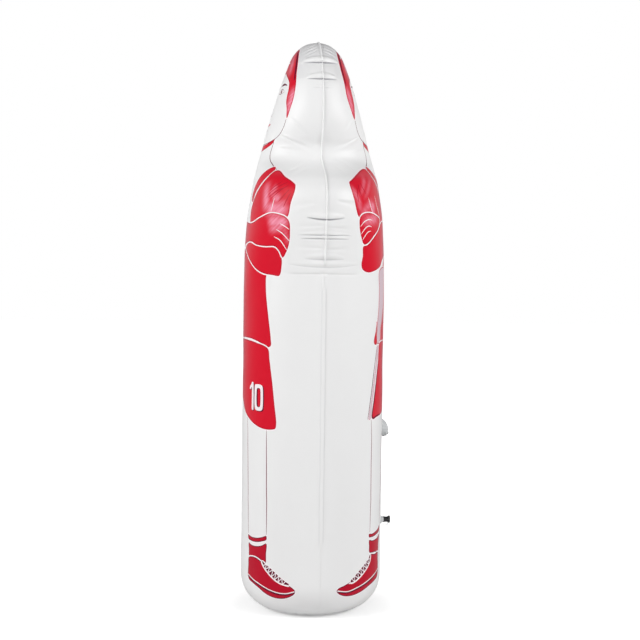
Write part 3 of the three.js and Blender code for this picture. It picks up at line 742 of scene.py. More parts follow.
    leg_lines: tuple[Outline, ...] = (
        ((164, 566), (164, 500), (166, 420), (168, 340), (168, 252)),
        ((62, 598), (68, 560), (70, 500), (74, 420), (76, 340), (82, 244)),
        ((-161, 596), (-159, 500), (-158, 420), (-158, 340), (-163, 252)),
        ((-62, 612), (-68, 560), (-72, 480), (-76, 400), (-80, 320), (-84, 264)),
    )
    sock_band: Outline = (
        (80, 241), (98, 238), (124, 238), (148, 243), (168, 249), (168, 238), (148, 230), (124, 225),
        (98, 225), (82, 229),
    )
    sock: Outline = (
        (84, 217), (100, 213), (126, 213), (148, 218), (168, 226), (167, 196), (165, 166), (150, 172),
        (127, 180), (88, 177), (85, 196),
    )
    far_sock_band: Outline = (
        (-167, 250), (-148, 249), (-126, 252), (-104, 257), (-84, 264), (-84, 250), (-104, 244),
        (-130, 240), (-150, 239), (-167, 241),
    )
    far_sock: Outline = (
        (-166, 231), (-148, 228), (-128, 228), (-106, 231), (-88, 237), (-92, 212), (-99, 188),
        (-130, 190), (-163, 194), (-165, 212),
    )
    boot: Outline = (
        (85, 172), (83, 150), (81, 130), (81, 115), (88, 106), (110, 98), (136, 88), (166, 72), (196, 64),
        (224, 65), (249, 74), (264, 86), (265, 95), (257, 103), (242, 112), (224, 123), (206, 134),
        (188, 147), (170, 161), (160, 168), (148, 170), (127, 177), (104, 178),
    )
    boot_sole: Outline = (
        (81, 121), (110, 110), (142, 101), (180, 89), (212, 83), (238, 84), (264, 92),
    )
    boot_laces: Outline = (
        (150, 169), (158, 156), (172, 143), (190, 129), (208, 118), (228, 111), (246, 109),
    )
    far_boot: Outline = (
        (-102, 185), (-100, 165), (-98, 146), (-98, 122), (-104, 110), (-128, 101), (-160, 92), (-198, 79),
        (-232, 72), (-262, 74), (-284, 84), (-290, 93), (-284, 101), (-268, 107), (-246, 116), (-224, 128),
        (-202, 142), (-182, 158), (-168, 172), (-161, 187), (-130, 184),
    )
    far_boot_sole: Outline = (
        (-98, 133), (-122, 124), (-152, 114), (-186, 104), (-220, 95), (-252, 88), (-288, 93),
    )
    far_boot_laces: Outline = (
        (-156, 185), (-158, 170), (-170, 154), (-188, 139), (-208, 126), (-230, 115), (-250, 112),
    )

    def _face(self) -> list[Area | Line]:
        """A calm, plain face on common proportions.

        Returns:
            Its areas and lines, from the lowest layer up.
        """
        items: list[Area | Line] = [
            Area(self.under_chin, Ink.RED, 0),
            Line(self.jaw, Ink.DARK, 1.8),
            Line(self.nose, Ink.DARK, 2.0, True),
            Area(self.upper_lip, Ink.RED, 0, 0.8),
            Line(self.lower_lip, Ink.DARK, 1.8, True),
        ]
        (wide, high), (aside, lift) = self.white_scale, self.white_shift
        white = tuple((x * wide + aside, z * high + lift) for x, z in self.eye)
        for flip in (tuple, mirrored):
            items += [
                Area(flip(self.brow), Ink.DARK, 0, 0), Area(flip(self.eye), Ink.DARK, 0, 0),
                Area(flip(white), Ink.WHITE, 0, 0), Area(flip(self.iris), Ink.DARK, 0, 0),
            ]
        return items

    def _laces(self, points: Outline, teeth: int = 7) -> list[Area | Line]:
        """A dark tongue behind a white zigzag lace, beside a white line.

        Args:
            points: The line that the boot's upper ends at.
            teeth: Turns of the lace.

        Returns:
            The tongue, lace and line.
        """
        path = np.array(points, float)
        line = curve_through(path, spacing=2.0)
        along = unit(np.gradient(line, axis=0))
        toward = 1 if path[-1, 0] > 0 else -1
        out = np.stack([-along[:, 1], along[:, 0]], 1) * toward
        share = np.linspace(0, 1, len(line))
        reach = self.tongue * np.sqrt(np.sin(math.pi * np.clip(share, 0.02, 0.98)))
        places = np.linspace(0.1, 0.9, 2 * teeth)
        zigzag = []
        for index, place in enumerate(places):
            at = int(place * (len(line) - 1))
            zigzag.append(tuple(line[at] + out[at] * (reach[at] * (1.0 if index % 2 else 0.1))))
        edge = [tuple(p) for p in (line + out * reach[:, None])[::6]]
        tongue = tuple(tuple(p) for p in line[::6]) + tuple(edge[::-1])
        return [
            Area(tongue, Ink.DARK, 3.0, 0), Line(tuple(zigzag), Ink.WHITE, 2.5),
            Line(points, Ink.WHITE, 3.0),
        ]

    def _number(self) -> list[Area | Line]:
        """The plain number on the shorts, with a dark drop shadow.

        Returns:
            Its areas, from the lowest layer up.
        """
        items: list[Area | Line] = []
        for figure in (self.one, self.zero):
            shadow = tuple((x + self.cast[0], z + self.cast[1]) for x, z in figure)
            items.append(Area(shadow, Ink.DARK, 0, 0))
        items += [Area(self.one, Ink.WHITE, 0, 0), Area(self.zero, Ink.WHITE, 0, 0)]
        return items + [Area(self.zero_inside, Ink.DARK, 0, 0), Area(self.zero_light, Ink.RED, 0, 0)]

    def _feet(self) -> list[Area | Line]:
        """Socks and boots.

        Returns:
            Their areas and lines, from the lowest layer up.
        """
        outlines = (self.sock_band, self.sock, self.far_sock_band, self.far_sock, self.boot, self.far_boot)
        items: list[Area | Line] = [Area(points, Ink.DEEP, rim=2.4, edge=Ink.DARK) for points in outlines]
        for sole in (self.boot_sole, self.far_boot_sole):
            below = tuple((x, z - 3) for x, z in sole)
            items += [Line(below, Ink.DARK, 8.0, True), Line(sole, Ink.WHITE, 3.2)]
        return items + self._laces(self.boot_laces) + self._laces(self.far_boot_laces)

    def items(self) -> list[Area | Line]:
        """All that is printed, from the lowest layer to the top one.

        Returns:
            Areas and lines.
        """
        found: list[Area | Line] = [
            Line(self.neck, Ink.DARK, 1.8), Line(mirrored(self.neck), Ink.DARK, 1.8),
        ]
        found += self._face()
        found.append(Area(self.hair, Ink.RED))
        found += [Line(glint, Ink.WHITE, 3.4, True) for glint in self.hair_glints]
        found += [Line(edge, Ink.DARK, 6.5, True) for edge in self.hair_edges]
        found += [
            Area(self.jersey, Ink.RED), Area(self.jersey_stripe, Ink.PALE, 2.0),
            Area(self.jersey_wedge, Ink.RED, 2.0), Area(self.shorts, Ink.RED),
            Area(self.shorts_stripe, Ink.PALE, 2.0, 0.6), Line(self.shorts_piping, Ink.DARK, 3.2, True),
            Line(self.shorts_shadow, Ink.DARK, 5.5, True),
            *self._number(),
            Area(self.raglan, Ink.RED, 2.4), Area(self.far_raglan, Ink.RED, 2.4),
            Area(self.sleeve, Ink.RED), Area(self.far_sleeve, Ink.RED),
        ]
        found += [Line(stroke, Ink.DEEP, 3.4, True) for stroke in self.sleeve_strokes]
        found += [Line(fold, Ink.WHITE, 2.6, True) for fold in self.sleeve_folds]
        found += [Area(self.far_arm, Ink.RED), Area(self.far_hand, Ink.RED)]
        found += [Line(finger, Ink.WHITE, 3.0, True) for finger in self.far_fingers]
        found.append(Area(self.near_arm, Ink.RED))
        found += [Line(finger, Ink.WHITE, 3.0, True) for finger in self.fingers]
        found += [Line(line, Ink.WHITE, 7.0, True) for line in self.leg_lines]
        found += [Line(line, Ink.DARK, 3.0, True) for line in self.leg_lines]
        return found + self._feet()

    def _ribbon(self, item: Line) -> Array:
        """The loop round a line of its width.

        Args:
            item: The line.

        Returns:
            The loop's places.
        """
        path = curve_through(np.array(item.points, float), spacing=self.spacing)
        along = unit(np.gradient(path, axis=0))
        across = np.stack([-along[:, 1], along[:, 0]], 1)
        share = np.linspace(0, 1, len(path))
        width = np.full(len(path), item.width / 2)
        if item.thin_ends:
            width *= 0.25 + 0.75 * np.sqrt(np.clip(np.sin(math.pi * share), 0, 1))
        return np.concatenate([path + across * width[:, None], (path - across * width[:, None])[::-1]])

    def loops(self) -> list[tuple[Ink, Array]]:
        """Closed loops in metres and their inks, from the lowest layer to the top one.

        Returns:
            Pairs of ink and places.
        """
        made: list[tuple[Ink, Array]] = []
        for item in self.items():
            if isinstance(item, Line):
                made.append((item.ink, self._ribbon(item)))
                continue
            points = np.array(item.points, float)
            size = float(np.ptp(points, axis=0).max())
            spacing = self.fine if size < self.fine_below else self.spacing
            loop = curve_through(points, True, spacing) if item.smooth else points
            if item.halo:
                made.append((Ink.WHITE, grown(loop, item.halo)))
            if item.rim:
                made.append((item.edge, loop))
            made.append((item.ink, grown(loop, -item.rim)))
        return [(ink, loop * MM) for ink, loop in made]


# Finishes


@dataclass(frozen=True)
class Wiring:
    """The nodes of one material, world or group, and how they are made and linked."""

    tree: bpy.types.NodeTree

    def feed(self, socket: Socket, value: object) -> None:
        """Links an output to an input, or sets the input's value.

        Args:
            socket: The input.
            value: An output, or a plain value.
        """
        if isinstance(value, Socket):
            self.tree.links.new(value, socket)
        else:
            socket.default_value = value

    def put(self, node: bpy.types.Node, **values: object) -> bpy.types.Node:
        """Feeds a node's inputs and sets its properties by name.

        Args:
            node: The node.
            values: Outputs or plain values, under names with spaces written as underscores.

        Returns:
            The node.
        """
        for name, value in values.items():
            label = name.replace("_", " ").title().replace("Ior", "IOR")
            if label in node.inputs:
                self.feed(node.inputs[label], value)
            else:
                setattr(node, name, value)
        return node

    def add(self, kind: str, **values: object) -> bpy.types.Node:
        """Adds a node with its inputs and properties by name."""
        return self.put(self.tree.nodes.new(kind), **values)

    def attribute(self, mark: str) -> Socket:
        """Values that a piece carries at its points under the mark's name."""
        return self.add("ShaderNodeAttribute", attribute_name=mark).outputs["Fac"]

    def noise(self, spot: Socket, scale: float, detail: float) -> Socket:
        """Soft cloudy noise at a spot."""
        return self.add("ShaderNodeTexNoise", vector=spot, scale=scale, detail=detail).outputs["Fac"]

    def math(self, operation: str, *terms: Socket | float, clamp: bool = False) -> Socket:
        """Works out a value.

        Args:
            operation: What is done with the terms.
            terms: Outputs or numbers.
            clamp: Whether the value is kept from 0 to 1.

        Returns:
            The value's output.
        """
        node = self.add("ShaderNodeMath", operation=operation, use_clamp=clamp)
        for socket, term in zip(node.inputs, terms):
            self.feed(socket, term)
        return node.outputs[0]

    def spread(self, value: Socket, start: Point2, end: Point2) -> Socket:
        """Moves a value from its first range to another, and keeps it in there.

        Args:
            value: The value's output.
            start: Both ends of the first range.
            end: Both ends of the second range.

        Returns:
            The moved value's output.
        """
        node = self.add(
            "ShaderNodeMapRange", value=value, from_min=start[0], from_max=start[1],
            to_min=end[0], to_max=end[1],
        )
        return node.outputs["Result"]

    def mix(self, first: object, second: object, share: Socket, kind: str = "MIX") -> Socket:
        """Mixes two colours.

        Args:
            first: The first colour, as an output or four numbers.
            second: The second one.
            share: How much of the second one is taken.
            kind: How it is laid on the first.

        Returns:
            The mixed colour's output.
        """
        node = self.add("ShaderNodeMix", data_type="RGBA", blend_type=kind, factor=share, a=first, b=second)
        return node.outputs["Result"]


def new_group(name: str, given: tuple[str, ...], found: tuple[str, ...]) -> Wiring:
    """An empty group of nodes.

    Args:
        name: The group's name.
        given: Names of its inputs.
        found: Names of its outputs.

    Returns:
        The group's wiring.
    """
    tree = bpy.data.node_groups.new(name, "ShaderNodeTree")
    for labels, way in ((given, "INPUT"), (found, "OUTPUT")):
        for label in labels:
            tree.interface.new_socket(label, in_out=way, socket_type="NodeSocketFloat")
    return Wiring(tree)


def new_material(name: str) -> tuple[bpy.types.Material, Wiring, bpy.types.Node]:
    """A plain material.

    Args:
        name: The material's name.

    Returns:
        The material, its wiring and its shader.
    """
    made = bpy.data.materials.new(name)
    made.use_nodes = True
    return made, Wiring(made.node_tree), made.node_tree.nodes["Principled BSDF"]


def surface_group() -> bpy.types.NodeTree:
    """The film's fine texture, shared by bare and printed film.

    Returns:
        A group that gives roughness, bump height and a grime mask.
    """
    name = "film_surface"
    if name in bpy.data.node_groups:
        return bpy.data.node_groups[name]
    s = new_group(name, ("Base Roughness",), ("Roughness", "Height", "Grime"))
    base = s.add("NodeGroupInput").outputs["Base Roughness"]
    spot = s.add("ShaderNodeTexCoord").outputs["Object"]
    cloudy, peel = s.noise(spot, 5.0, 4.0), s.noise(spot, 420.0, 2.0)
    scuffs = s.add("ShaderNodeTexNoise", vector=spot, scale=38.0, detail=6.0, roughness=0.7).outputs["Fac"]
    knurl = s.add("ShaderNodeTexVoronoi", vector=spot, scale=700.0).outputs["Distance"]
    weld = s.attribute("weld")
    rough = s.math("ADD", base, s.spread(cloudy, (0.3, 0.7), (-0.03, 0.05)))
    dull = s.math("MULTIPLY_ADD", weld, 0.14, rough)
    height = s.math("MULTIPLY_ADD", peel, 0.12, s.math("MULTIPLY", knurl, weld))
    patchy = s.spread(scuffs, (0.56, 0.8), (0.0, 1.0))
    apart = s.add("ShaderNodeSeparateXYZ", vector=spot)
    low = s.spread(apart.outputs["Z"], (0.0, 0.16), (1.0, 0.12))
    s.add("NodeGroupOutput", roughness=dull, height=height, grime=s.math("MULTIPLY", patchy, low))
    return s.tree


def highlight_stroke_group() -> bpy.types.NodeTree:
    """Brush strokes in the pale highlight streaks, partly printed fold highlights and partly painted
    highlight of the gloss, shared by all inks.

    Returns:
        A group that gives how far the colour turns to its highlight colour.
    """
    name = "brush_strokes"
    if name in bpy.data.node_groups:
        return bpy.data.node_groups[name]
    s = new_group(name, (), ("Fade",))
    far = s.math("MULTIPLY", s.attribute("brush_along"), 0.09)
    place = s.add("ShaderNodeCombineXYZ", x=s.attribute("brush_across"), y=far)
    hairs = s.noise(place.outputs[0], 190.0, 3.0)
    lines = s.spread(hairs, (0.36, 0.64), (0.62, 1.12))
    s.add("NodeGroupOutput", fade=s.math("MULTIPLY", s.attribute("fade"), lines, clamp=True))
    return s.tree


@dataclass(frozen=True)
class FilmFinish:
    """Glossy soft film, bare or printed: its colour, its highlight colour in the pale streaks, and its gloss.

    grime is how much of the soil colour its scuffs take. The crease colour is painted shade in its tucks and
    on the crown, and also darkens a faint line along the lap weld's edges.
    """

    name: str
    colour: Colour
    highlight_colour: Colour
    roughness: float = 0.42
    coat: float = 0.15
    shine: float = 0.35
    grime: float = 0.05
    bump: float = 0.05
    sheen: float = 0.0
    soil: Colour = (0.72, 0.7, 0.68)
    crease: Colour = (0.2, 0.19, 0.25)
    sheen_tint: Colour = (1.0, 0.82, 0.92)

    def material(self) -> bpy.types.Material:
        """Makes the finish's material, once.

        Returns:
            The material.
        """
        if self.name in bpy.data.materials:
            return bpy.data.materials[self.name]
        made, s, shader = new_material(self.name)
        surface = s.add("ShaderNodeGroup", node_tree=surface_group(), base_roughness=self.roughness)
        strokes = s.add("ShaderNodeGroup", node_tree=highlight_stroke_group())
        # Pale streaks: partly printed fold highlights, partly painted highlight of the gloss.
        tint = s.mix((*self.colour, 1), (*self.highlight_colour, 1), strokes.outputs["Fade"])
        grime = s.math("MULTIPLY", surface.outputs["Grime"], self.grime)
        soiled = s.mix(tint, (*self.soil, 1), grime, "MULTIPLY")
        # Painted shade: the crease colour darkens the film where the fold mark says, in the tucks and on the
        # crown.
        crease_shaded = s.mix(soiled, (*self.crease, 1), s.attribute("fold"), "MULTIPLY")
        bump = s.add(
            "ShaderNodeBump", strength=self.bump, distance=0.0004, height=surface.outputs["Height"]
        )
        s.put(
            shader, coat_weight=self.coat, coat_roughness=0.32, specular_ior_level=self.shine,
            sheen_weight=self.sheen, sheen_tint=(*self.sheen_tint, 1), sheen_roughness=0.35,
            roughness=surface.outputs["Roughness"], base_color=crease_shaded, normal=bump.outputs["Normal"],
        )
        return made


@dataclass(frozen=True)
class MouldedFinish:
    """Moulded plastic, rubber or clear vinyl: its colour, gloss, grain and how clear it is."""

    name: str
    colour: Colour
    roughness: float
    clear: float = 0.0
    grain: float = 300.0
    bump: float = 0.06
    sheen: float = 0.0

    def material(self) -> bpy.types.Material:
        """Makes the finish's material, once.

        Returns:
            The material.
        """
        if self.name in bpy.data.materials:
            return bpy.data.materials[self.name]
        made, s, shader = new_material(self.name)
        spot = s.add("ShaderNodeTexCoord").outputs["Object"]
        grain, cloudy = s.noise(spot, self.grain, 3.0), s.noise(spot, 45.0, 5.0)
        rough = s.spread(cloudy, (0.3, 0.7), (self.roughness * 0.8, self.roughness * 1.25))
        tint = s.mix((*self.colour, 1), (*(c * 0.88 for c in self.colour), 1), cloudy)
        bump = s.add("ShaderNodeBump", strength=self.bump, distance=0.0003, height=grain)
        s.put(
            shader, transmission_weight=self.clear, ior=1.5, sheen_weight=self.sheen,
            roughness=rough, base_color=tint, normal=bump.outputs["Normal"],
        )
        return made


# The second colour of each finish is its highlight colour in the pale streaks: partly printed fold
# highlights, partly painted highlight of the gloss.
BARE_FILM = FilmFinish("white_film", (0.87, 0.87, 0.87), (0.87, 0.87, 0.87))
WHITE_INK = FilmFinish("white_ink", (0.95, 0.87, 0.89), (0.95, 0.87, 0.89), 0.45)
RED_INK = FilmFinish("red_ink", (0.69, 0.002, 0.02), (0.93, 0.34, 0.46), 0.36, 0.12, 0.05, sheen=0.75)
DEEP_INK = FilmFinish("deep_red_ink", (0.5, 0.003, 0.022), (0.72, 0.05, 0.09), 0.36, 0.12, 0.05, sheen=0.5)
DARK_INK = FilmFinish("dark_ink", (0.13, 0.0035, 0.026), (0.3, 0.04, 0.09), 0.42, 0.1, 0.1)
PALE_INK = FilmFinish("pale_ink", (0.68, 0.52, 0.58), (0.68, 0.52, 0.58), 0.45)
INKS = {
    Ink.FILM: BARE_FILM, Ink.WHITE: WHITE_INK, Ink.RED: RED_INK, Ink.DARK: DARK_INK, Ink.PALE: PALE_INK,
    Ink.DEEP: DEEP_INK,
}
CLEAR_VINYL = MouldedFinish("clear_vinyl", (0.96, 0.965, 0.97), 0.16, clear=0.12)
# Painted shade: dark grey vinyl for the inflation plug, standing in for the shade inside the clear plug.
SHADE_GREY_VINYL = MouldedFinish("smoky_vinyl", (0.34, 0.35, 0.36), 0.16, clear=0.35)
GLASSY_VINYL = MouldedFinish("glassy_vinyl", (0.96, 0.96, 0.96), 0.08, clear=1.0)
BLACK_PLASTIC = MouldedFinish("black_plastic", (0.008, 0.008, 0.009), 0.22)
BLACK_RUBBER = MouldedFinish("black_rubber", (0.02, 0.02, 0.02), 0.6, sheen=0.2)
MILKY_SILICONE = MouldedFinish("milky_silicone", (0.75, 0.75, 0.72), 0.4, clear=0.3)


# Mesh work


def placed(name: str, places: Array, faces: Faces) -> Thing:
    """A new piece in the scene, from its points and faces.

    Args:
        name: The piece's name.
        places: Its points, one a row.
        faces: Corners of each face.

    Returns:
        The piece, at the origin.
    """
    mesh = bpy.data.meshes.new(name)
    mesh.from_pydata(places.tolist(), [], faces)
    piece = bpy.data.objects.new(name, mesh)
    bpy.context.scene.collection.objects.link(piece)
    return piece


def make_active(piece: Thing) -> None:
    """Selects a piece alone, and makes it the active one."""
    bpy.ops.object.select_all(action="DESELECT")
    piece.select_set(True)
    bpy.context.view_layer.objects.active = piece


def face_outward(piece: Thing, smooth_below: float = 38) -> None:
    """Turns a piece's faces outward and smooths its shading.

    Args:
        piece: The piece.
        smooth_below: Angle in degrees below which an edge looks smooth.
    """
    make_active(piece)
    bpy.ops.object.mode_set(mode="EDIT")
    bpy.ops.mesh.select_all(action="SELECT")
    bpy.ops.mesh.normals_make_consistent(inside=False)
    bpy.ops.object.mode_set(mode="OBJECT")
    bpy.ops.object.shade_smooth_by_angle(angle=math.radians(smooth_below))


def round_edges(piece: Thing, width: float, above: float = 30) -> None:
    """Rounds the active piece's edges.

    Args:
        piece: The piece.
        width: Width of the rounding, in millimetres.
        above: Angle in degrees above which an edge is rounded.
    """
    rounding = piece.modifiers.new("rounding", "BEVEL")
    rounding.width, rounding.segments = width * MM, 3
    rounding.limit_method, rounding.angle_limit = "ANGLE", math.radians(above)
    bpy.ops.object.modifier_apply(modifier=rounding.name)


def ring_faces(first: int, rings: int, sides: int, closed: bool = False) -> Faces:
    """Faces between rings of points.

    Args:
        first: Number of the first ring's first point.
        rings: How many rings there are.
        sides: Points in each ring.
        closed: Whether the last ring is joined to the first.

    Returns:
        Corners of each face.
    """
    faces = []
    for ring in range(rings if closed else rings - 1):
        low, high = first + ring * sides, first + (ring + 1) % rings * sides
        pairs = ((i, (i + 1) % sides) for i in range(sides))
        faces += [(low + i, low + j, high + j, high + i) for i, j in pairs]
    return faces


# Film pieces


@dataclass(frozen=True)
class HighlightStreak:
    """A soft pale streak in the red ink, partly a printed fold highlight and partly a painted highlight of
    the gloss, from one spot to another, in millimetres.
    """

    start: Point2
    end: Point2
    width: float
    strength: float

    def at(self, x: Array, z: Array) -> Array:
        """How strong the streak is at flat places.

        Args:
            x: Distances from the middle line.
            z: Flat heights.

        Returns:
            Strengths.
        """
        start, run = np.array(self.start), np.subtract(self.end, self.start)
        place = np.stack([x, z], -1) - start
        share = place @ run / (run @ run)
        off = place @ np.array([-run[1], run[0]]) / np.linalg.norm(run)
        along = ramp(share, -0.25, 0.3) * (1 - ramp(share, 0.7, 1.25))
        return self.strength * along * bell(off / self.width)


def brushed(x: Array, up: Array) -> dict[str, Array]:
    """Distances across and along the brush strokes of the highlight streaks in the red ink, which rise away
    from the middle line.

    Args:
        x: Distances from the middle line.
        up: Flat heights.

    Returns:
        Both distances, by the names that the finishes read.
    """
    slant = math.radians(52)
    away = np.abs(x)
    return {
        "brush_across": away * math.cos(slant) - up * math.sin(slant),
        "brush_along": away * math.sin(slant) + up * math.cos(slant),
    }


def compact(count: int, triangles: Array) -> tuple[Array, Array]:
    """Leaves out the points that no triangle uses.

    Args:
        count: How many points there are.
        triangles: Their triangles.

    Returns:
        Numbers of the points kept, and the triangles in the new numbers.
    """
    used = np.unique(triangles)
    renumbered = np.zeros(count, int)
    renumbered[used] = np.arange(len(used))
    return used, renumbered[triangles]


def inside(loop: Array, points: Array) -> Array:
    """Which points a loop goes round.

    Args:
        loop: Places round an area.
        points: Places to test.

    Returns:
        True for each point inside.
    """
    found = np.zeros(len(points), bool)
    low, high = loop.min(0), loop.max(0)
    near = np.flatnonzero(((points >= low) & (points <= high)).all(1))
    if not len(near):
        return found
    x, z = points[near].T
    winding = np.zeros(len(near), int)
    for (x0, z0), (x1, z1) in zip(loop, np.roll(loop, -1, 0)):
        if z0 == z1:
            continue
        left = (x1 - x0) * (z - z0) - (x - x0) * (z1 - z0)
        winding += ((z0 <= z) & (z1 > z) & (left > 0)).astype(int)
        winding -= ((z0 > z) & (z1 <= z) & (left < 0)).astype(int)
    found[near] = winding != 0
    return found


@dataclass
class FlatCut:
    """A panel cut flat: triangles along the print's outlines, with the ink of each."""

    form: InflatedForm
    art: FootballerPrint
    coarse: float = 0.0112
    fine: float = 0.0052
    edge_step: float = 0.004
    row_share: float = 0.87
    busy_reach: float = 0.135
    busy_below_waist: float = 0.02
    busy_rim: float = 0.055
    busy_round_valve: float = 0.02
    sleeve_height: float = 1.24
    sleeve_half: float = 0.11
    sleeve_from: float = 0.12
    holes: tuple[Point2, ...] = ((AIR_HEIGHT, 0.0253), (WATER_HEIGHT, 0.0158))
    tuck_shares: tuple[float, ...] = (
        -1.3, -0.9, -0.6, -0.4, -0.27, -0.17, -0.08, 0, 0.08, 0.17, 0.27, 0.4, 0.7, 1.1, 1.5, 1.8, 2.1,
        2.5, 3,
    )
    tuck_start: float = -0.022
    tuck_step: float = 0.0042
    crease_step: float = 0.005
    seam_room: float = 0.0088
    fold_cell: float = 0.0011
    grid_cell: float = 0.0019
    least_step: float = 0.00045
    fin_from: float = 0.004
    lap_from: float = 0.01
    lap_to: float = 0.008
    fin_reaches: tuple[float, ...] = (0.0078, 0.0045, 0.0026, 0.0012, 0.0003, -0.0006, -0.0016, -0.0026)
    lap_reaches: tuple[float, ...] = (
        0.013, 0.0095, 0.0076, 0.0067, 0.006, 0.0053, 0.0046, 0.0034, 0.0, -0.0034, -0.0044, -0.0052,
    )
    points: Array = field(init=False)
    triangles: Array = field(init=False)
    inks: Array = field(init=False)
    in_hole: Array = field(init=False)

    @property
    def seam_heights(self) -> Array:
        """Flat heights of the points along the seams, closer where tucks end in them.

        Returns:
            Heights, from the lowest up.
        """
        form = self.form
        even = np.linspace(form.low, form.high, int((form.high - form.low) / self.edge_step))
        shares = np.array(self.tuck_shares)
        folds = np.concatenate([form.up_at(p.z + p.rise * shares) for p in form.puckers])
        apart = np.abs(even[:, None] - folds[None, :]).min(1) > 2 * self.least_step
        apart[[0, -1]] = True
        ups = np.sort(np.concatenate([even[apart], folds]))
        return ups[np.append(True, np.diff(ups) > self.least_step)]

    def _seam_rows(self) -> list[Array]:
        """Rows of points along both seams, at even distances from the seam line.

        Returns:
            The rows.
        """
        form, ups = self.form, self.seam_heights
        half, margin = form.half_width(ups), form.margin(ups)
        z = form.z_at(ups)
        rows = []
        for reaches, zone in (
            (self.fin_reaches, z > form.waist - self.fin_from),
            (self.lap_reaches, (z > form.lap_end - self.lap_from) & (z < form.waist - self.lap_to)),
        ):
            for reach in reaches:
                keep = zone & (margin > -reach + 0.0005) & (half > reach + 0.006)
                row = np.stack([half - reach, ups], 1)[keep]
                if len(row) > 2:
                    rows += [row, row * (-1, 1)]
        return rows

    def _edge(self) -> Array:
        """The loop round the panel, its welded margins included.

        Returns:
            The loop's places.
        """
        form, ups = self.form, self.seam_heights
        half = form.half_width(ups) + form.margin(ups)
        low = np.linspace(-half[0], half[0], int(2 * half[0] / self.edge_step))
        right = np.stack([half, ups], 1)
        top = np.array([[0.0, form.high]])
        left = np.stack([-half, ups], 1)[::-1]
        bottom = np.stack([low, np.full_like(low, form.low)], 1)[1:-1]
        return np.concatenate([bottom, right, top, left])

    def _grid(self, step: float) -> Array:
        """Staggered rows of points over a rectangle that is wider than the panel.

        Args:
            step: Distance from point to point.

        Returns:
            The points.
        """
        form = self.form
        reach = form.radius * 1.7
        rows = np.arange(form.low + step, form.high - 0.001, step * self.row_share)
        made = []
        for index, up in enumerate(rows):
            x = np.arange(-reach + (index % 2) * step / 2, reach, step)
            made.append(np.stack([x, np.full_like(x, up)], 1))
        return np.concatenate(made)

    def _busy(self, points: Array) -> Array:
        """Which points want the fine grid.

        Args:
            points: Flat places.

        Returns:
            True beside the upper seams, at the foot's rim, in the sleeves and round the valves.
        """
        form, (x, up) = self.form, points.T
        away = np.abs(x)
        seam = (up > form.waist - self.busy_below_waist) & (form.half_width(up) - away < self.busy_reach)
        sleeve = (np.abs(up - self.sleeve_height) < self.sleeve_half) & (away > self.sleeve_from)
        busy = seam | sleeve | (up < self.busy_rim)
        for height, radius in self.holes:
            busy |= np.hypot(x, up - height) < radius + self.busy_round_valve
        return busy

    def _inner(self) -> Array:
        """Points inside the panel, closer where the film folds.

        Returns:
            The points.
        """
        form = self.form
        coarse, fine = self._grid(self.coarse), self._grid(self.fine)
        points = np.concatenate([coarse[~self._busy(coarse)], fine[self._busy(fine)]])
        room = form.half_width(points[:, 1]) - np.abs(points[:, 0])
        return points[room > 0.004]

    def _folds(self) -> Array:
        """Close rows of points along the puckers and creases, on both sides of the panel.

        Returns:
            The points.
        """
        form, shares = self.form, np.array(self.tuck_shares)
        rows = []
        for p in form.puckers:
            middle = float(form.half_width(form.up_at(np.array([p.z])))[0])
            reaches = np.arange(self.tuck_start, p.reach, self.tuck_step)
            z, away = np.meshgrid(p.z + p.rise * shares, reaches)
            z = z + p.bow * np.clip(away / p.reach, 0, 1) ** 2
            rows.append(np.stack([(middle - away).ravel(), form.up_at(z.ravel())], 1))
        for c in form.creases:
            start = np.array([abs(c.start[0]), c.start[1]])
            run = np.array([abs(c.end[0]), c.end[1]]) - start
            size = float(np.linalg.norm(run))
            across = np.array([-run[1], run[0]]) / size
            share, off = np.meshgrid(
                np.arange(-0.1, 1.1, self.crease_step / size), c.width * np.linspace(-1.3, 2.4, 8)
            )
            place = start + share.reshape(-1, 1) * run + off.reshape(-1, 1) * across
            up = form.up_at(place[:, 1])
            rows.append(np.stack([form.half_width(up) - place[:, 0], up], 1))
        found = np.concatenate(rows)
        room = form.half_width(found[:, 1]) - found[:, 0]
        found = found[(room > self.seam_room) & (found[:, 0] > 0.002) & (found[:, 1] < form.high - 0.004)]
        return np.concatenate([found, found * (-1, 1)])

    @staticmethod
    def _apart(points: Array, fixed: Array, cell: float) -> Array:
        """Those points that keep about a cell's distance from fixed ones.

        Args:
            points: Places to thin out.
            fixed: Places that stay.
            cell: The distance.

        Returns:
            The places kept.
        """
        taken = {(int(a), int(b)) for a, b in np.floor(fixed / cell)}
        kept = []
        for point, (a, b) in zip(points, np.floor(points / cell).astype(int)):
            if not any((a + i, b + j) in taken for i in (-1, 0, 1) for j in (-1, 0, 1)):
                kept.append(point)
        return np.array(kept)

    def _hole_loops(self) -> list[Array]:
        """Round the valves' holes.

        Returns:
            The loops.
        """
        turn = np.linspace(0, 2 * math.pi, 73)[:-1]
        return [
            np.stack([radius * np.cos(turn), up + radius * np.sin(turn)], 1) for up, radius in self.holes
        ]

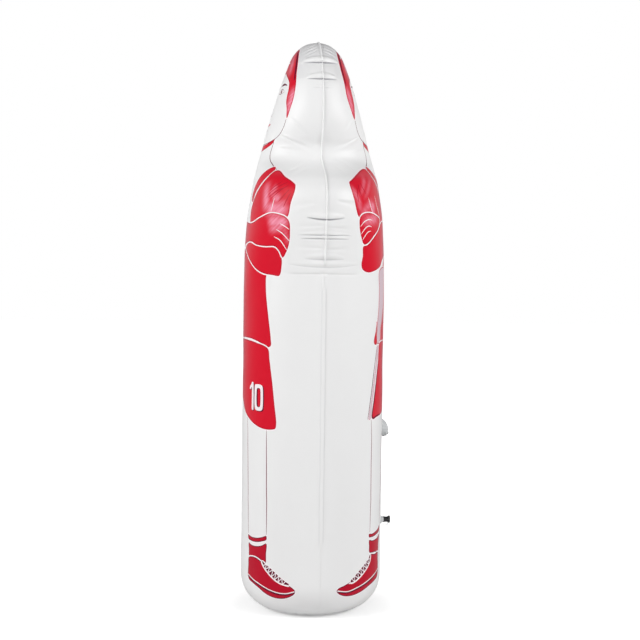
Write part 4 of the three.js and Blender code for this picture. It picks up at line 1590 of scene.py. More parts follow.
    def cut(self) -> None:
        """Cuts the flat panel into triangles."""
        edge, holes, loops = self._edge(), self._hole_loops(), self.art.loops()
        closed = [edge, *holes, *(loop for _, loop in loops)]
        chains = [*closed, *self._seam_rows()]
        fixed = np.concatenate(chains)
        folds = self._apart(self._folds(), fixed, self.fold_cell)
        grid = self._apart(self._inner(), np.concatenate([fixed, folds]), self.grid_cell)
        edges: list[tuple[int, int]] = []
        start = 0
        for index, chain in enumerate(chains):
            count = len(chain)
            links = count if index < len(closed) else count - 1
            edges += [(start + i, start + (i + 1) % count) for i in range(links)]
            start += count
        places = [Vector(p) for p in np.concatenate([fixed, folds, grid]) * PER_METRE]
        found = delaunay_2d_cdt(places, edges, [], 0, 0.01, False)
        points = np.array([tuple(p) for p in found[0]]) / PER_METRE
        triangles = np.array([f for f in found[2] if len(f) == 3])
        middle = points[triangles].mean(1)
        keep = inside(edge, middle)
        triangles, middle = triangles[keep], middle[keep]
        in_hole = np.zeros(len(middle), bool)
        for hole in holes:
            in_hole |= inside(hole, middle)
        a, b, c = (points[triangles[:, i]] for i in range(3))
        turn = (b - a)[:, 0] * (c - a)[:, 1] - (b - a)[:, 1] * (c - a)[:, 0]
        triangles[turn < 0] = triangles[turn < 0][:, ::-1]
        inks = np.zeros(len(triangles), int)
        for ink, loop in loops:
            inks[inside(loop, middle)] = ink.value
        used, self.triangles = compact(len(points), triangles)
        self.points, self.inks, self.in_hole = points[used], inks, in_hole


def film_mesh(
    name: str, outer: Array, normals: Array, triangles: Array, thickness: float,
    inks: Array, marks: dict[str, Array],
) -> Thing:
    """A closed film from its outer face.

    Args:
        name: The piece's name.
        outer: Places of the outer face.
        normals: Outward directions there.
        triangles: The outer face's triangles, outward.
        thickness: How far the inner face lies inside.
        inks: Finish of each triangle, as a place in the piece's list.
        marks: Values at each outer place that the finishes read.

    Returns:
        The piece, at the origin.
    """
    count = len(outer)
    directed = np.concatenate([triangles[:, pair] for pair in ([0, 1], [1, 2], [2, 0])])
    _, first, times = np.unique(np.sort(directed, 1), axis=0, return_index=True, return_counts=True)
    rim = directed[first[times == 1]]
    quads = np.stack([rim[:, 1], rim[:, 0], rim[:, 0] + count, rim[:, 1] + count], 1)
    walls = np.concatenate([quads[:, [0, 1, 2]], quads[:, [0, 2, 3]]])
    faces = np.concatenate([triangles, triangles[:, ::-1] + count, walls])
    places = np.concatenate([outer, outer - normals * thickness])
    piece = placed(name, places, faces.tolist())
    mesh = piece.data
    for ink in INKS.values():
        mesh.materials.append(ink.material())
    worn = np.zeros(len(faces), np.int32)
    worn[: len(inks)] = inks
    mesh.polygons.foreach_set("material_index", worn)
    mesh.polygons.foreach_set("use_smooth", np.ones(len(faces), bool))
    for mark, values in marks.items():
        layer = mesh.attributes.new(mark, "FLOAT", "POINT")
        layer.data.foreach_set("value", np.concatenate([values, values]).astype(np.float32))
    a, b, c = (places[walls[:, i]] for i in range(3))
    square = np.repeat(unit(np.cross(b - a, c - a)), 3, 0)
    skins = (normals[triangles].reshape(-1, 3), -normals[triangles[:, ::-1]].reshape(-1, 3))
    mesh.normals_split_custom_set(np.concatenate([*skins, square]).tolist())
    return piece


@dataclass
class PrintedPanels:
    """The two welded and printed skins of the body."""

    form: InflatedForm
    cut: FlatCut
    # Pale streaks on the red print of sleeves, hand and hair: partly printed fold highlights, partly painted
    # highlight of the gloss.
    highlight_streaks: tuple[HighlightStreak, ...] = (
        HighlightStreak((136, 1296), (152, 1222), 15, 0.9),
        HighlightStreak((182, 1290), (160, 1266), 10, 0.7),
        HighlightStreak((206, 1250), (176, 1262), 13, 0.7),
        HighlightStreak((234, 1220), (156, 1222), 19, 1.1),
        HighlightStreak((232, 1236), (190, 1238), 12, 0.5),
        HighlightStreak((170, 1188), (236, 1184), 16, 1.1),
        HighlightStreak((172, 1164), (226, 1170), 12, 0.7),
        HighlightStreak((222, 1180), (238, 1120), 9, 0.35),
        HighlightStreak((-176, 1326), (-232, 1270), 6, 0.4),
        HighlightStreak((-150, 1320), (-214, 1262), 6, 0.35),
        HighlightStreak((-262, 1290), (-236, 1220), 9, 0.5),
        HighlightStreak((-172, 1250), (-176, 1206), 13, 0.7),
        HighlightStreak((-176, 1252), (-236, 1212), 12, 0.5),
        HighlightStreak((-150, 1204), (-224, 1190), 14, 0.7),
        HighlightStreak((112, 1588), (117, 1512), 14, 0.9),
        HighlightStreak((-112, 1596), (-120, 1516), 11, 0.75),
        HighlightStreak((28, 1700), (60, 1640), 9, 0.6),
        HighlightStreak((-34, 1700), (-66, 1640), 8, 0.5),
    )

    def _piece(self, side: Side, node: str) -> Thing:
        """One panel, blown up on its side of the body.

        Args:
            side: The side.
            node: The node that it stands in for.

        Returns:
            The panel.
        """
        form, cut = self.form, self.cut
        kept = ~cut.in_hole if side is Side.BACK else np.ones(len(cut.inks), bool)
        used, triangles = compact(len(cut.points), cut.triangles[kept])
        x, up = cut.points[used].T
        across = x * -side.value
        outer = form.place(side, across, up)
        normals = form.normals(side, across, up)
        from_seam = form.half_width(up) - np.abs(x)
        z = form.z_at(up)
        weld = np.where(z > form.waist, from_seam < 0.0004, np.abs(from_seam) < form.lap / 2 + 0.0008)
        weld = weld & (z > form.lap_end)
        weld = weld | (up < form.low + form.lap)
        # The fade mark carries the highlight streaks: partly printed fold highlights, partly painted
        # highlight of the gloss.
        fade = np.zeros(len(x))
        for streak in self.highlight_streaks:
            fade = np.maximum(fade, streak.at(x / MM, up / MM))
        # The fold mark carries painted shade in the tucks and on the crown, and a faint line along the lap
        # weld's edges.
        piece = film_mesh(
            node + "_film", outer, normals, triangles, form.film, cut.inks[kept],
            {"weld": weld.astype(float), "fade": fade, "fold": form.fold(from_seam, z), **brushed(x, up)},
        )
        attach(piece, "body")
        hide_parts(node)
        return piece

    def build(self) -> list[Thing]:
        """Cuts the flat panel once and blows it up twice."""
        self.cut.cut()
        return [self._piece(Side.FRONT, "front_panel"), self._piece(Side.BACK, "back_panel")]


@dataclass
class SeamEdge:
    """The trimmed edge of the standing seam, where heat has pressed both films into one."""

    form: InflatedForm
    half_width: float = 0.0013
    half_height: float = 0.0008
    step: float = 0.0025
    sides: int = 12
    start: float = 0.012
    taper: float = 0.035

    def _tips(self) -> tuple[Array, Array, Array]:
        """Tips of both films from one end of the seam over the crown to the other, and sizes there.

        Returns:
            The front film's tips, the back film's, and the bead's size at each.
        """
        form = self.form
        low = float(form.up_at(np.array([form.waist + self.start]))[0])
        ups = np.linspace(low, form.high - 1e-5, int((form.high - low) / self.step))
        reach = form.half_width(ups) + form.margin(ups)
        size = 0.1 + 0.9 * ramp(ups, low, low + self.taper)
        front = [form.place(Side.FRONT, sign * reach, ups) for sign in (1, -1)]
        back = [form.place(Side.BACK, sign * reach, ups) for sign in (1, -1)]
        return (
            np.concatenate([front[0], front[1][::-1]]), np.concatenate([back[0], back[1][::-1]]),
            np.concatenate([size, size[::-1]]),
        )

    def build(self) -> Thing:
        """A flat bead along the films' tips.

        Returns:
            The bead.
        """
        front, back, size = self._tips()
        middle = (front + back) / 2
        keep = np.append(True, np.linalg.norm(np.diff(middle, axis=0), axis=1) > self.step / 5)
        middle, size, aside = middle[keep], size[keep], (back - front)[keep]
        along = unit(np.gradient(middle, axis=0))
        aside = unit(aside - along * np.sum(aside * along, 1)[:, None])
        outward = np.cross(along, aside)
        inner = middle - (0.0, 0.0, self.form.waist)
        outward *= np.sign(np.sum(outward * inner, 1))[:, None]
        turn = 2 * math.pi * np.arange(self.sides) / self.sides
        spread = (np.outer(size, np.cos(turn)) * self.half_width)[..., None]
        rise = (np.outer(size, np.sin(turn)) * self.half_height)[..., None]
        rings = middle[:, None] + aside[:, None] * spread + outward[:, None] * (rise - self.half_height / 2)
        last = (len(middle) - 1) * self.sides
        ends = [tuple(range(self.sides)), tuple(range(last, last + self.sides))[::-1]]
        faces = ring_faces(0, len(middle), self.sides) + ends
        piece = soft_mesh("seam_edge", rings.reshape(-1, 3), faces, BARE_FILM)
        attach(piece, "body")
        return piece


@dataclass
class FilmDisc:
    """A round film piece that turns round the body's axis, from its profile."""

    name: str
    node: str
    profile: tuple[Point2, ...]
    form: InflatedForm
    facing: int = -1
    sides: int = 144
    spacing: float = 0.006
    weld: Point2 = (0.144, 0.157)

    def build(self) -> Thing:
        """Spins the profile's outer face and gives it the film's thickness.

        Returns:
            The piece.
        """
        line = curve_through(np.array(self.profile, float), spacing=self.spacing)
        line = line[line[:, 0] > 1e-5]
        turn = 2 * math.pi * np.arange(self.sides) / self.sides

        def round_axis(pairs: Array) -> Array:
            """Turns places or directions round the body's axis.

            Args:
                pairs: Radius and height of each place, or of each direction.

            Returns:
                The rows.
            """
            wide = pairs[:, :1, None] * np.stack([np.cos(turn), np.sin(turn)], 1)
            high = np.repeat(pairs[:, 1:, None], self.sides, 1)
            return np.concatenate([wide, high], -1).reshape(-1, 3)

        radius, z = line.T
        slope = np.gradient(z, radius)
        tilt = unit(np.stack([-slope, np.ones_like(slope)], 1) * self.facing)
        places = np.concatenate([round_axis(line), [[0.0, 0.0, self.profile[0][1]]]])
        normals = np.concatenate([round_axis(tilt), [[0.0, 0.0, self.facing]]])
        quads = np.array(ring_faces(0, len(line), self.sides))
        index = np.arange(self.sides)
        fan = np.stack([np.full(self.sides, len(places) - 1), index, (index + 1) % self.sides], 1)
        triangles = np.concatenate([fan, quads[:, [0, 3, 2]], quads[:, [0, 2, 1]]])
        if self.facing < 0:
            triangles = triangles[:, ::-1]
        reach = np.append(np.repeat(radius, self.sides), 0.0)
        weld = ((reach > self.weld[0]) & (reach < self.weld[1])).astype(float)
        piece = film_mesh(
            self.name, places, normals, triangles, self.form.film, np.zeros(len(triangles), int),
            {"weld": weld},
        )
        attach(piece, "body")
        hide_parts(self.node)
        return piece


# Valves


def spun(
    name: str, profile: Outline, finish: MouldedFinish, bevel: float = 0.25, steps: int = 72
) -> Thing:
    """A round piece, extruded point by point as a profile and spun about +Y.

    Args:
        name: The piece's name.
        profile: Radius and reach of each corner, in millimetres.
        finish: What it wears.
        bevel: Width of its rounded edges, in millimetres.
        steps: Sides round it.

    Returns:
        The piece, at the origin.
    """
    bpy.ops.object.select_all(action="DESELECT")
    bpy.ops.mesh.primitive_plane_add(size=MM, location=(0, 0, 0))
    piece = bpy.context.active_object
    piece.name = piece.data.name = name
    bpy.ops.object.mode_set(mode="EDIT")
    bpy.ops.mesh.select_all(action="SELECT")
    bpy.ops.mesh.merge(type="CENTER")
    places = [Vector((radius, reach, 0)) * MM for radius, reach in profile]
    bpy.ops.transform.translate(value=places[0])
    for before, after in zip(places, places[1:]):
        bpy.ops.mesh.extrude_vertices_move(TRANSFORM_OT_translate={"value": after - before})
    bpy.ops.mesh.select_all(action="SELECT")
    bpy.ops.mesh.spin(steps=steps, angle=2 * math.pi, center=(0, 0, 0), axis=(0, 1, 0))
    bpy.ops.mesh.select_all(action="SELECT")
    bpy.ops.mesh.remove_doubles(threshold=1e-6)
    bpy.ops.mesh.normals_make_consistent(inside=False)
    bpy.ops.object.mode_set(mode="OBJECT")
    if bevel:
        round_edges(piece, bevel, 33)
    bpy.ops.object.shade_smooth_by_angle(angle=math.radians(38))
    piece.data.materials.append(finish.material())
    return piece


def soft_mesh(
    name: str, places: Array, faces: Faces, finish: MouldedFinish | FilmFinish,
) -> Thing:
    """A soft vinyl piece from its points and faces, turned outward.

    Args:
        name: The piece's name.
        places: Points in metres.
        faces: Corners of each face.
        finish: What it wears.

    Returns:
        The piece, at the origin.
    """
    piece = placed(name, places, faces)
    face_outward(piece, 40)
    piece.data.materials.append(finish.material())
    return piece


@dataclass
class SoftPart:
    """A vinyl moulding: a skin of rings that closes on itself, and straps."""

    sides: int = 72
    strap_sides: int = 12
    places: list[Array] = field(default_factory=list)
    faces: Faces = field(default_factory=list)
    count: int = 0

    def skin(self, rings: list[Array]) -> None:
        """Joins rings one after another and the last to the first.

        Args:
            rings: Points of each ring, in millimetres.
        """
        self.faces += ring_faces(self.count, len(rings), self.sides, True)
        self.places.append(np.concatenate(rings))
        self.count += self.sides * len(rings)

    def strap(self, path: Array, across: Array, width: float, thickness: float) -> None:
        """A flat strap with round edges along a path.

        Args:
            path: Corners of its middle line, in millimetres.
            across: Direction of its width.
            width: Its width.
            thickness: Its thickness.
        """
        line = curve_through(path, spacing=0.6)
        along = unit(np.gradient(line, axis=0))
        up, sides = np.cross(along, across), self.strap_sides
        turn = 2 * math.pi * (np.arange(sides) + 0.5) / sides
        half, flat = thickness / 2, (width - thickness) / 2
        aside = np.sign(np.cos(turn)) * flat + half * np.cos(turn)
        rise = half * np.sin(turn)
        rings = line[:, None] + across * aside[None, :, None] + up[:, None] * rise[None, :, None]
        first, last = self.count, self.count + (len(line) - 1) * sides
        self.faces += ring_faces(first, len(line), sides)
        self.faces += [tuple(range(first, first + sides)), tuple(range(last, last + sides))[::-1]]
        self.places.append(rings.reshape(-1, 3))
        self.count += len(line) * sides

    def build(self, name: str, height: float, radius: float, finish: MouldedFinish) -> Thing:
        """The moulding at its height on the back panel."""
        places = np.concatenate(self.places) * MM + (0, radius, height)
        return soft_mesh(name, places, self.faces, finish)


@dataclass
class Valves:
    """The inflation valve and the capped filling valve on the back panel, in millimetres about +Y.

    A profile gives radius and reach of each corner.
    """

    form: InflatedForm
    sides: int = 72
    air_flange: float = 37
    air_root: float = 25
    stem: float = 12
    stem_length: float = 5
    air_bore: float = 7.6
    wall: float = 1.4
    tube_depth: float = 5
    droop: float = math.radians(62)
    pivot_reach: float = 0.8
    fan_reach: float = 2.4
    ripple: float = 0.45
    flange: float = 1.2
    strap_width: float = 6.0
    strap_thickness: float = 1.2
    tab: float = 3.5
    water_flange: float = 30
    neck_root: float = 18.6
    neck: Outline = (
        (17.4, -0.5), (15.6, 0.4), (14.9, 1.6), (12.65, 4.8), (10.6, 8.2), (9.8, 9.8), (9.8, 11.6), (9.4, 12),
    )
    bent_to: float = 5
    strap_corners: tuple[Point2, ...] = ((3.6, -12.9), (12, -17.2), (18.8, -18.4), (27, -16), (27, -10.1))
    shank: float = 7.3
    gap: float = 0.3
    spout: Outline = (
        (5.4, -1), (7.1, -1), (7.3, -0.6), (7.3, 12.3), (9.4, 12.3), (9.4, 14.3), (6.9, 14.3), (6.9, 27.6),
        (6.6, 28), (5.4, 28), (5.4, -1),
    )
    thread_start: Point2 = (6.78, 17.2)
    thread_size: float = 0.42
    thread_pitch: float = 3
    cap_shell: Outline = (
        (7.2, 14.6), (9.3, 14.6), (9.3, 16.4), (8.4, 17.3), (8.4, 28.8), (11.6, 28.8), (11.6, 32.6),
        (9.2, 32.6), (8.8, 32.2), (0, 32.2), (0, 30.1), (7.2, 30.1), (7.2, 14.6),
    )
    grips: int = 12
    grip_place: Point2 = (12.2, 31)
    grip_radius: float = 1.5
    loop: Outline = ((8.7, 25.5), (9.7, 25.5), (9.7, 28.5), (8.7, 28.5), (8.7, 25.5))
    seal: Outline = ((5.4, 28.3), (6.9, 28.3), (6.9, 29.2), (5.4, 29.2), (5.4, 28.3))
    folds: int = 22

    @property
    def along(self) -> Array:
        """Direction of the inflation stem."""
        return np.array([0, math.cos(self.droop), -math.sin(self.droop)])

    @property
    def across(self) -> Array:
        """Direction up across the inflation stem."""
        return np.array([0, math.sin(self.droop), math.cos(self.droop)])

    @property
    def stem_root(self) -> Array:
        """Where the inflation stem starts."""
        pivot = np.array([0, self.pivot_reach, -self.air_root])
        return pivot + self.along * self.fan_reach + self.across * self.stem

    def _flange_ring(self, radius: float, depth: float) -> Array:
        """A ring on the curved flange, at a depth below the body's outer face.

        Args:
            radius: Its radius.
            depth: The depth.

        Returns:
            Its points.
        """
        turn = 2 * math.pi * np.arange(self.sides) / self.sides
        x, z = radius * np.sin(turn), radius * np.cos(turn)
        body = self.form.radius / MM
        return np.stack([x, np.sqrt((body - depth) ** 2 - x**2) - body, z], 1)

    def _ring(self, centre: Array, radius: float, turn: float, ripple: float = 0.0) -> Array:
        """A ring whose plane is turned down from facing +Y.

        Args:
            centre: Its middle.
            radius: Its radius.
            turn: How far it is turned down.
            ripple: Height of the small folds in its lower half.

        Returns:
            Its points.
        """
        angle = 2 * math.pi * np.arange(self.sides) / self.sides
        low = np.clip(-np.cos(angle), 0, 1) ** 0.7
        size = radius + ripple * low * np.cos(11 * angle)
        side, rise = size * np.sin(angle), size * np.cos(angle)
        return centre + np.stack([side, rise * math.sin(turn), rise * math.cos(turn)], 1)

    def _fan(self, inset: float, reverse: bool) -> list[Array]:
        """Rings of the soft web that folds down from the flange to the stem.

        Args:
            inset: How far inside the outer face they lie.
            reverse: Whether they start at the stem.

        Returns:
            The rings.
        """
        pivot = np.array([0, self.pivot_reach, -self.air_root])
        rings = []
        for share in np.linspace(0.02, 1, self.folds):
            turn = self.droop * share
            radius = self.air_root + (self.stem - self.air_root) * share**0.95
            up = np.array([0, math.sin(turn), math.cos(turn)])
            centre = pivot + self.along * self.fan_reach * share + up * radius
            ripple = self.ripple * math.sin(math.pi * share) if not inset else 0.0
            rings.append(self._ring(centre, radius - inset, turn, ripple))
        return rings[::-1] if reverse else rings

    def air_body(self) -> Thing:
        """Models the inflation valve's flange, web, stem, tube and strap.

        Returns:
            The moulding.
        """

        def at(reach: float, radius: float) -> Array:
            """A ring of the stem or its tube."""
            return self._ring(self.stem_root + self.along * reach, radius, self.droop)

        part, step = SoftPart(self.sides), self.form.step / MM
        stem, bore, length, tube = self.stem, self.air_bore, self.stem_length, self.air_bore + self.wall
        part.skin([
            self._flange_ring(self.air_flange, step), self._flange_ring(self.air_root + 2.2, step),
            self._flange_ring(self.air_root + 0.4, step - 0.2), *self._fan(0.0, False),
            at(1.2, stem + 0.25), at(1.9, stem), at(length - 0.5, stem), at(length - 0.1, stem - 0.2),
            at(length, stem - 0.6), at(length, bore + 0.4), at(length - 0.35, bore),
            at(-self.tube_depth, bore), at(-self.tube_depth, tube), at(0, tube),
            at(-0.1, stem - self.wall), *self._fan(self.wall, True)[1:],
            self._flange_ring(self.air_root - self.wall, step + self.flange),
            self._flange_ring(self.air_flange, step + self.flange),
        ])
        bow, rim = stem + 0.9, length + 1.4
        corners = (
            (length / 2, stem - 1.0), (length * 0.7, bow + 1.2), (length, bow + 1.8), (rim, bow + 0.6),
            (rim, bow),
        )
        path = [self.stem_root + self.along * reach + (aside, 0, 0) for reach, aside in corners]
        part.strap(np.array(path), self.across, self.strap_width, self.strap_thickness)
        return part.build("air_valve_moulding", AIR_HEIGHT, self.form.radius, CLEAR_VINYL)

    def neck_body(self) -> Thing:
        """Models the filling valve's flange, cone and strap.

        Returns:
            The moulding.
        """
        turn = 2 * math.pi * np.arange(self.sides) / self.sides
        body = self.form.radius / MM

        def ring(radius: float, reach: float) -> Array:
            """A ring of the cone, bent to the panel near its root.

            Args:
                radius: Its radius.
                reach: How far it stands out.

            Returns:
                Its points.
            """
            x = radius * np.sin(turn)
            bend = (np.sqrt(body**2 - x**2) - body) * max(0.0, 1 - max(reach, 0) / self.bent_to)
            return np.stack([x, reach + bend, radius * np.cos(turn)], 1)

        part, step = SoftPart(self.sides), self.form.step / MM
        bore, top = self.shank + self.gap, self.neck[-1][1]
        part.skin([
            self._flange_ring(self.water_flange, step), self._flange_ring(self.neck_root, step),
            *(ring(*corner) for corner in self.neck), ring(bore + 0.4, top), ring(bore, top - 0.4),
            self._flange_ring(bore, step + self.flange),
            self._flange_ring(self.water_flange, step + self.flange),
        ])
        path = np.array([(0, reach, up) for reach, up in self.strap_corners])
        part.strap(path, np.array([1.0, 0, 0]), self.strap_width, self.strap_thickness)
        return part.build("water_valve_moulding", WATER_HEIGHT, self.form.radius, CLEAR_VINYL)

    @staticmethod
    def _seat(piece: Thing, matrix: Matrix) -> Thing:
        """Moves a piece to its valve and leaves its object at the origin.

        Args:
            piece: The piece.
            matrix: Its place and turn.

        Returns:
            The piece.
        """
        make_active(piece)
        piece.matrix_world = matrix
        bpy.ops.object.transform_apply(location=True, rotation=True, scale=True)
        return piece

    @staticmethod
    def _joined(piece: Thing, extra: Thing) -> Thing:
        """Joins a second mesh to a piece.

        Args:
            piece: The piece.
            extra: The second mesh.

        Returns:
            The piece.
        """
        make_active(piece)
        extra.select_set(True)
        bpy.ops.object.join()
        return piece

    def _stem_matrix(self) -> Matrix:
        """Turns +Y to the inflation stem's direction, with zero at its root.

        Returns:
            The move.
        """
        rows = np.stack([(1, 0, 0), self.along, self.across], 1)
        matrix = Matrix([(*row, 0) for row in rows.tolist()] + [(0, 0, 0, 1)])
        root = Vector(self.stem_root * MM) + Vector((0, self.form.radius, AIR_HEIGHT))
        return Matrix.Translation(root) @ matrix

    def plug(self) -> Thing:
        """Models the inflation valve's plug and its pull tab.

        Returns:
            The plug.
        """
        stem, start, shank = self.stem, self.stem_length + self.gap, self.air_bore - self.gap
        # The plug wears dark grey vinyl as painted shade for the shade inside it.
        piece = spun("air_plug_moulding", (
            (0, start - 7.5), (shank - 1.1, start - 7.5), (shank - 0.5, start - 6.9), (shank, start - 4),
            (shank - 0.25, start - 2.4), (shank, start - 1.2), (shank, start), (stem, start),
            (stem, start + 0.7), (stem - 0.5, start + 1.6), (stem - 1.4, start + 2.2),
            (stem - 2.6, start + 2.2), (stem - 3.1, start + 1.7), (0, start + 1.7),
        ), SHADE_GREY_VINYL, 0.3)
        bpy.ops.mesh.primitive_cylinder_add(
            vertices=40, radius=self.tab * MM, depth=2 * MM, location=(0, (start + 3.2) * MM, 0)
        )
        tab = bpy.context.active_object
        tab.data.materials.append(piece.data.materials[0])
        round_edges(tab, 0.35)
        bpy.ops.object.shade_smooth_by_angle(angle=math.radians(38))
        return self._seat(self._joined(piece, tab), self._stem_matrix())

    def flap(self) -> Thing:
        """Models the inflation valve's thin flap."""
        radius, seat = self.air_bore + self.wall, -(self.tube_depth + self.gap)
        profile = ((0, seat - 0.8), (radius, seat - 0.8), (radius, seat), (0, seat))
        return self._seat(spun("air_flap_disc", profile, MILKY_SILICONE, 0.15, 48), self._stem_matrix())

    def _water(self, piece: Thing) -> Thing:
        """Moves a piece to the filling valve."""
        return self._seat(piece, Matrix.Translation((0, self.form.radius, WATER_HEIGHT)))

    def insert(self) -> Thing:
        """Models the filling valve's threaded spout.

        Returns:
            The spout.
        """
        piece = spun("water_spout", self.spout, BLACK_PLASTIC, 0.2)
        aside, reach = self.thread_start
        bpy.ops.mesh.primitive_circle_add(
            vertices=4, radius=self.thread_size * MM, fill_type="NOTHING",
            location=(aside * MM, reach * MM, 0),
        )
        thread = bpy.context.active_object
        thread.data.materials.append(piece.data.materials[0])
        bpy.ops.object.transform_apply(location=True, rotation=True, scale=True)
        winding = thread.modifiers.new("winding", "SCREW")
        winding.axis, winding.screw_offset, winding.iterations = "Y", self.thread_pitch * MM, 3
        winding.steps = winding.render_steps = 48
        bpy.ops.object.modifier_apply(modifier=winding.name)
        bpy.ops.object.mode_set(mode="EDIT")
        bpy.ops.mesh.select_all(action="SELECT")
        bpy.ops.mesh.fill_holes(sides=8)
        bpy.ops.object.mode_set(mode="OBJECT")
        face_outward(thread)
        return self._water(self._joined(piece, thread))

    def cap(self) -> Thing:
        """Models the screw cap with its bead, waist and scooped grip rim.

        Returns:
            The cap.
        """
        piece = spun("water_cap_moulding", self.cap_shell, BLACK_PLASTIC, 0.0, 96)
        far, reach = (size * MM for size in self.grip_place)
        for grip in range(self.grips):
            turn = 2 * math.pi * (grip + 0.5) / self.grips
            bpy.ops.mesh.primitive_cylinder_add(
                vertices=32, radius=self.grip_radius * MM, depth=8 * MM, rotation=(math.pi / 2, 0, 0),
                location=(far * math.cos(turn), reach, far * math.sin(turn)),
            )
            cutter = bpy.context.active_object
            bpy.context.view_layer.objects.active = piece
            cut = piece.modifiers.new("scoop", "BOOLEAN")
            cut.operation, cut.solver, cut.object = "DIFFERENCE", "EXACT", cutter
            bpy.ops.object.modifier_apply(modifier=cut.name)
            bpy.data.objects.remove(cutter)
        make_active(piece)
        round_edges(piece, 0.3, 33)
        bpy.ops.object.mode_set(mode="EDIT")
        bpy.ops.mesh.select_all(action="SELECT")
        bpy.ops.mesh.dissolve_degenerate(threshold=2e-6)
        bpy.ops.object.mode_set(mode="OBJECT")
        bpy.ops.object.shade_smooth_by_angle(angle=math.radians(38))
        return self._water(piece)

    def ring(self) -> Thing:
        """Models the loose ring of the cap's strap."""
        return self._water(spun("water_cap_loop", self.loop, GLASSY_VINYL, 0.25))

    def gasket(self) -> Thing:
        """Models the cap's sealing ring."""
        return self._water(spun("water_gasket_ring", self.seal, BLACK_RUBBER, 0.2, 48))

    def build(self) -> list[Thing]:
        """Models the valves' pieces and hands each its node.

        Returns:
            The pieces.
        """
        made = []
        for model, node, body, slot in (
            (self.air_body, "air_valve_body", "body", "clear_vinyl"),
            (self.flap, "air_valve_flap", "air_flap", "silicone"),
            (self.plug, "air_valve_plug", "air_plug", "clear_vinyl"),
            (self.neck_body, "water_valve_neck", "body", "clear_vinyl"),
            (self.insert, "water_valve_insert", "body", "black_plastic"),
            (self.cap, "water_valve_cap", "water_cap", "black_plastic"),
            (self.gasket, "water_valve_gasket", "water_cap", "black_rubber"),
            (self.ring, "water_cap_ring", "cap_ring", "clear_vinyl"),
        ):
            piece = model()
            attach(piece, body)
            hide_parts(node)
            made.append(piece)
        return made


# Studio


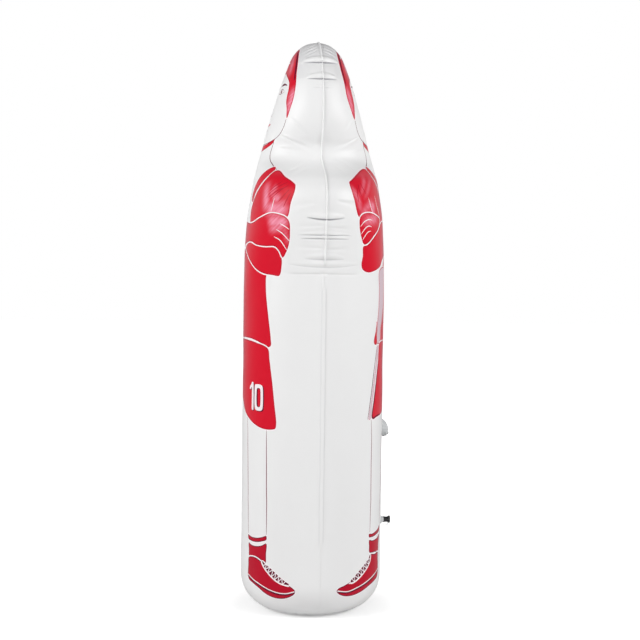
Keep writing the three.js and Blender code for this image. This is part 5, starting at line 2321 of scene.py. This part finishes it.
@dataclass
class Studio:
    """A pale floor, soft light and the camera."""

    azimuth: float = 82.0
    distance: float = 4.0
    camera_height: float = 1.0
    focal_pixels: float = 1288.0
    frame_pixels: float = 640.0
    aim_aside: float = 0.0205
    aim_height: float = 0.892
    roll: float = 0.72
    sensor: float = 36.0
    walls: float = 0.7
    ceiling: float = 0.0
    lamps: tuple[tuple[str, Point2, float], ...] = (
        ("key", (2.25, -5.56), 262), ("fill", (3.69, 4.73), 246),
    )
    lamp_height: float = 3.4
    lamp_size: float = 3.2
    lamp_aim: float = 0.9

    def camera(self) -> Thing:
        """The camera at the photograph's place and angle.

        Returns:
            The camera.
        """
        turn = math.radians(self.azimuth)
        away = Vector((math.sin(turn), -math.cos(turn), 0.0))
        right = Vector((math.cos(turn), math.sin(turn), 0.0))
        place = away * self.distance + Vector((0, 0, self.camera_height))
        aim = right * self.aim_aside + Vector((0, 0, self.aim_height))
        data = bpy.data.cameras.new("camera")
        data.sensor_width = self.sensor
        data.lens = self.focal_pixels / self.frame_pixels * self.sensor
        made = bpy.data.objects.new("camera", data)
        bpy.context.scene.collection.objects.link(made)
        look = (aim - place).to_track_quat("-Z", "Y").to_matrix()
        made.matrix_world = (
            Matrix.Translation(place) @ look.to_4x4() @ Matrix.Rotation(math.radians(self.roll), 4, "Z")
        )
        bpy.context.scene.camera = made
        return made

    def lamp(self, name: str, place: Point2, power: float) -> Thing:
        """A square soft lamp that looks at the body's middle.

        Args:
            name: The lamp's name.
            place: Where it stands, seen from above.
            power: Its power in watts.

        Returns:
            The lamp.
        """
        data = bpy.data.lights.new(name, "AREA")
        data.size, data.energy = self.lamp_size, power
        made = bpy.data.objects.new(name, data)
        bpy.context.scene.collection.objects.link(made)
        made.location = (*place, self.lamp_height)
        made.rotation_mode = "QUATERNION"
        look = Vector((0, 0, self.lamp_aim)) - made.location
        made.rotation_quaternion = look.to_track_quat("-Z", "Y")
        return made

    def floor(self) -> Thing:
        """A pale floor that looks white and keeps the object's shadow.

        Returns:
            The floor.
        """
        bpy.ops.mesh.primitive_plane_add(size=60, location=(0, 0, 0))
        floor = bpy.context.active_object
        floor.name = "floor"
        made, s, shader = new_material("pale_floor")
        s.tree.nodes.remove(shader)
        spot = s.add("ShaderNodeTexCoord").outputs["Object"]
        reach = s.add("ShaderNodeVectorMath", operation="LENGTH", vector=spot).outputs["Value"]
        far = s.spread(reach, (0.16, 0.42), (0.34, 1.0))
        seen = s.add("ShaderNodeLightPath").outputs["Is Camera Ray"]
        matt = s.add("ShaderNodeBsdfDiffuse", color=(0.82, 0.82, 0.82, 1))
        glow = s.add("ShaderNodeEmission", color=(1, 1, 1, 1), strength=s.math("MULTIPLY", seen, far))
        total = s.add("ShaderNodeAddShader")
        s.feed(total.inputs[0], matt.outputs[0])
        s.feed(total.inputs[1], glow.outputs[0])
        s.put(s.tree.nodes["Material Output"], surface=total.outputs[0])
        floor.data.materials.append(made)
        return floor

    def world(self) -> None:
        """Soft walls and a darker ceiling, seen as plain white."""
        world = bpy.data.worlds.new("studio")
        bpy.context.scene.world = world
        world.use_nodes = True
        s = Wiring(world.node_tree)
        spot = s.add("ShaderNodeTexCoord").outputs["Generated"]
        apart = s.add("ShaderNodeSeparateXYZ", vector=spot)
        level = s.spread(apart.outputs["Z"], (0.2, 0.6), (self.walls, self.ceiling))
        path = s.add("ShaderNodeLightPath").outputs
        seen = s.math("MAXIMUM", path["Is Camera Ray"], path["Is Transmission Ray"])
        shown = s.math("MAXIMUM", seen, level)
        s.put(s.tree.nodes["Background"], color=(1, 1, 1, 1), strength=shown)

    def build(self) -> None:
        """Sets the whole studio."""
        scene = bpy.context.scene
        scene.view_settings.view_transform = "Standard"
        self.camera()
        self.floor()
        self.world()
        for lamp in self.lamps:
            self.lamp(*lamp)


@dataclass
class Mannequin:
    """The whole object. The film that parts its chambers is a dish that sags inside a welded rim."""

    form: InflatedForm = field(default_factory=InflatedForm)
    flat_shares: tuple[float, ...] = (0.0, 0.25, 0.5, 0.75, 0.9)
    dish_shares: tuple[float, ...] = (0.0, 0.3, 0.6, 0.85, 0.985)
    dish_rim: float = 0.3456
    dish_sag: float = 0.03
    dish_weld: Point2 = (0.3476, 0.357)
    dish_ease: float = 0.0002

    def base(self) -> Thing:
        """The round film under the foot, rolled up to its weld with the panels.

        Returns:
            The piece.
        """
        form = self.form
        foot, reach = form.radius - form.edge, form.edge + form.step
        weld = (form.weld_radius + form.lap / 2 - foot) / form.edge
        turns = np.linspace(0, math.asin(min(weld, 1.0)), 8)
        flat = tuple((foot * share, 0.0) for share in self.flat_shares)
        under = tuple((foot + reach * math.sin(t), reach - reach * math.cos(t)) for t in turns)
        return FilmDisc("base_panel_film", "base_panel", flat + under, form).build()

    def diaphragm(self) -> Thing:
        """The film that parts the water chamber from the air chamber above it.

        Returns:
            The piece.
        """
        form, (low, high) = self.form, self.dish_weld
        outer = form.radius - form.film - form.gap
        dish = tuple(
            (outer * share, self.dish_rim - self.dish_sag * (1 - share**2)) for share in self.dish_shares
        )
        profile = (*dish, (outer - self.dish_ease, low), (outer, high))
        return FilmDisc("chamber_diaphragm_film", "chamber_diaphragm", profile, form, 1).build()

    def build(self) -> None:
        """Builds and dresses every piece, and reports each."""
        form = self.form
        pieces = PrintedPanels(form, FlatCut(form, FootballerPrint())).build()
        pieces += [self.base(), self.diaphragm(), SeamEdge(form).build(), *Valves(form).build()]
        for piece in pieces:
            LOG.info("%s: %d faces", piece.name, len(piece.data.polygons))


def main() -> None:
    """Builds the scene in order."""
    logging.basicConfig(level=logging.INFO, format="%(message)s")
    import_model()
    Studio().build()
    Mannequin().build()
    bpy.context.view_layer.update()


if __name__ == "__main__":
    main()
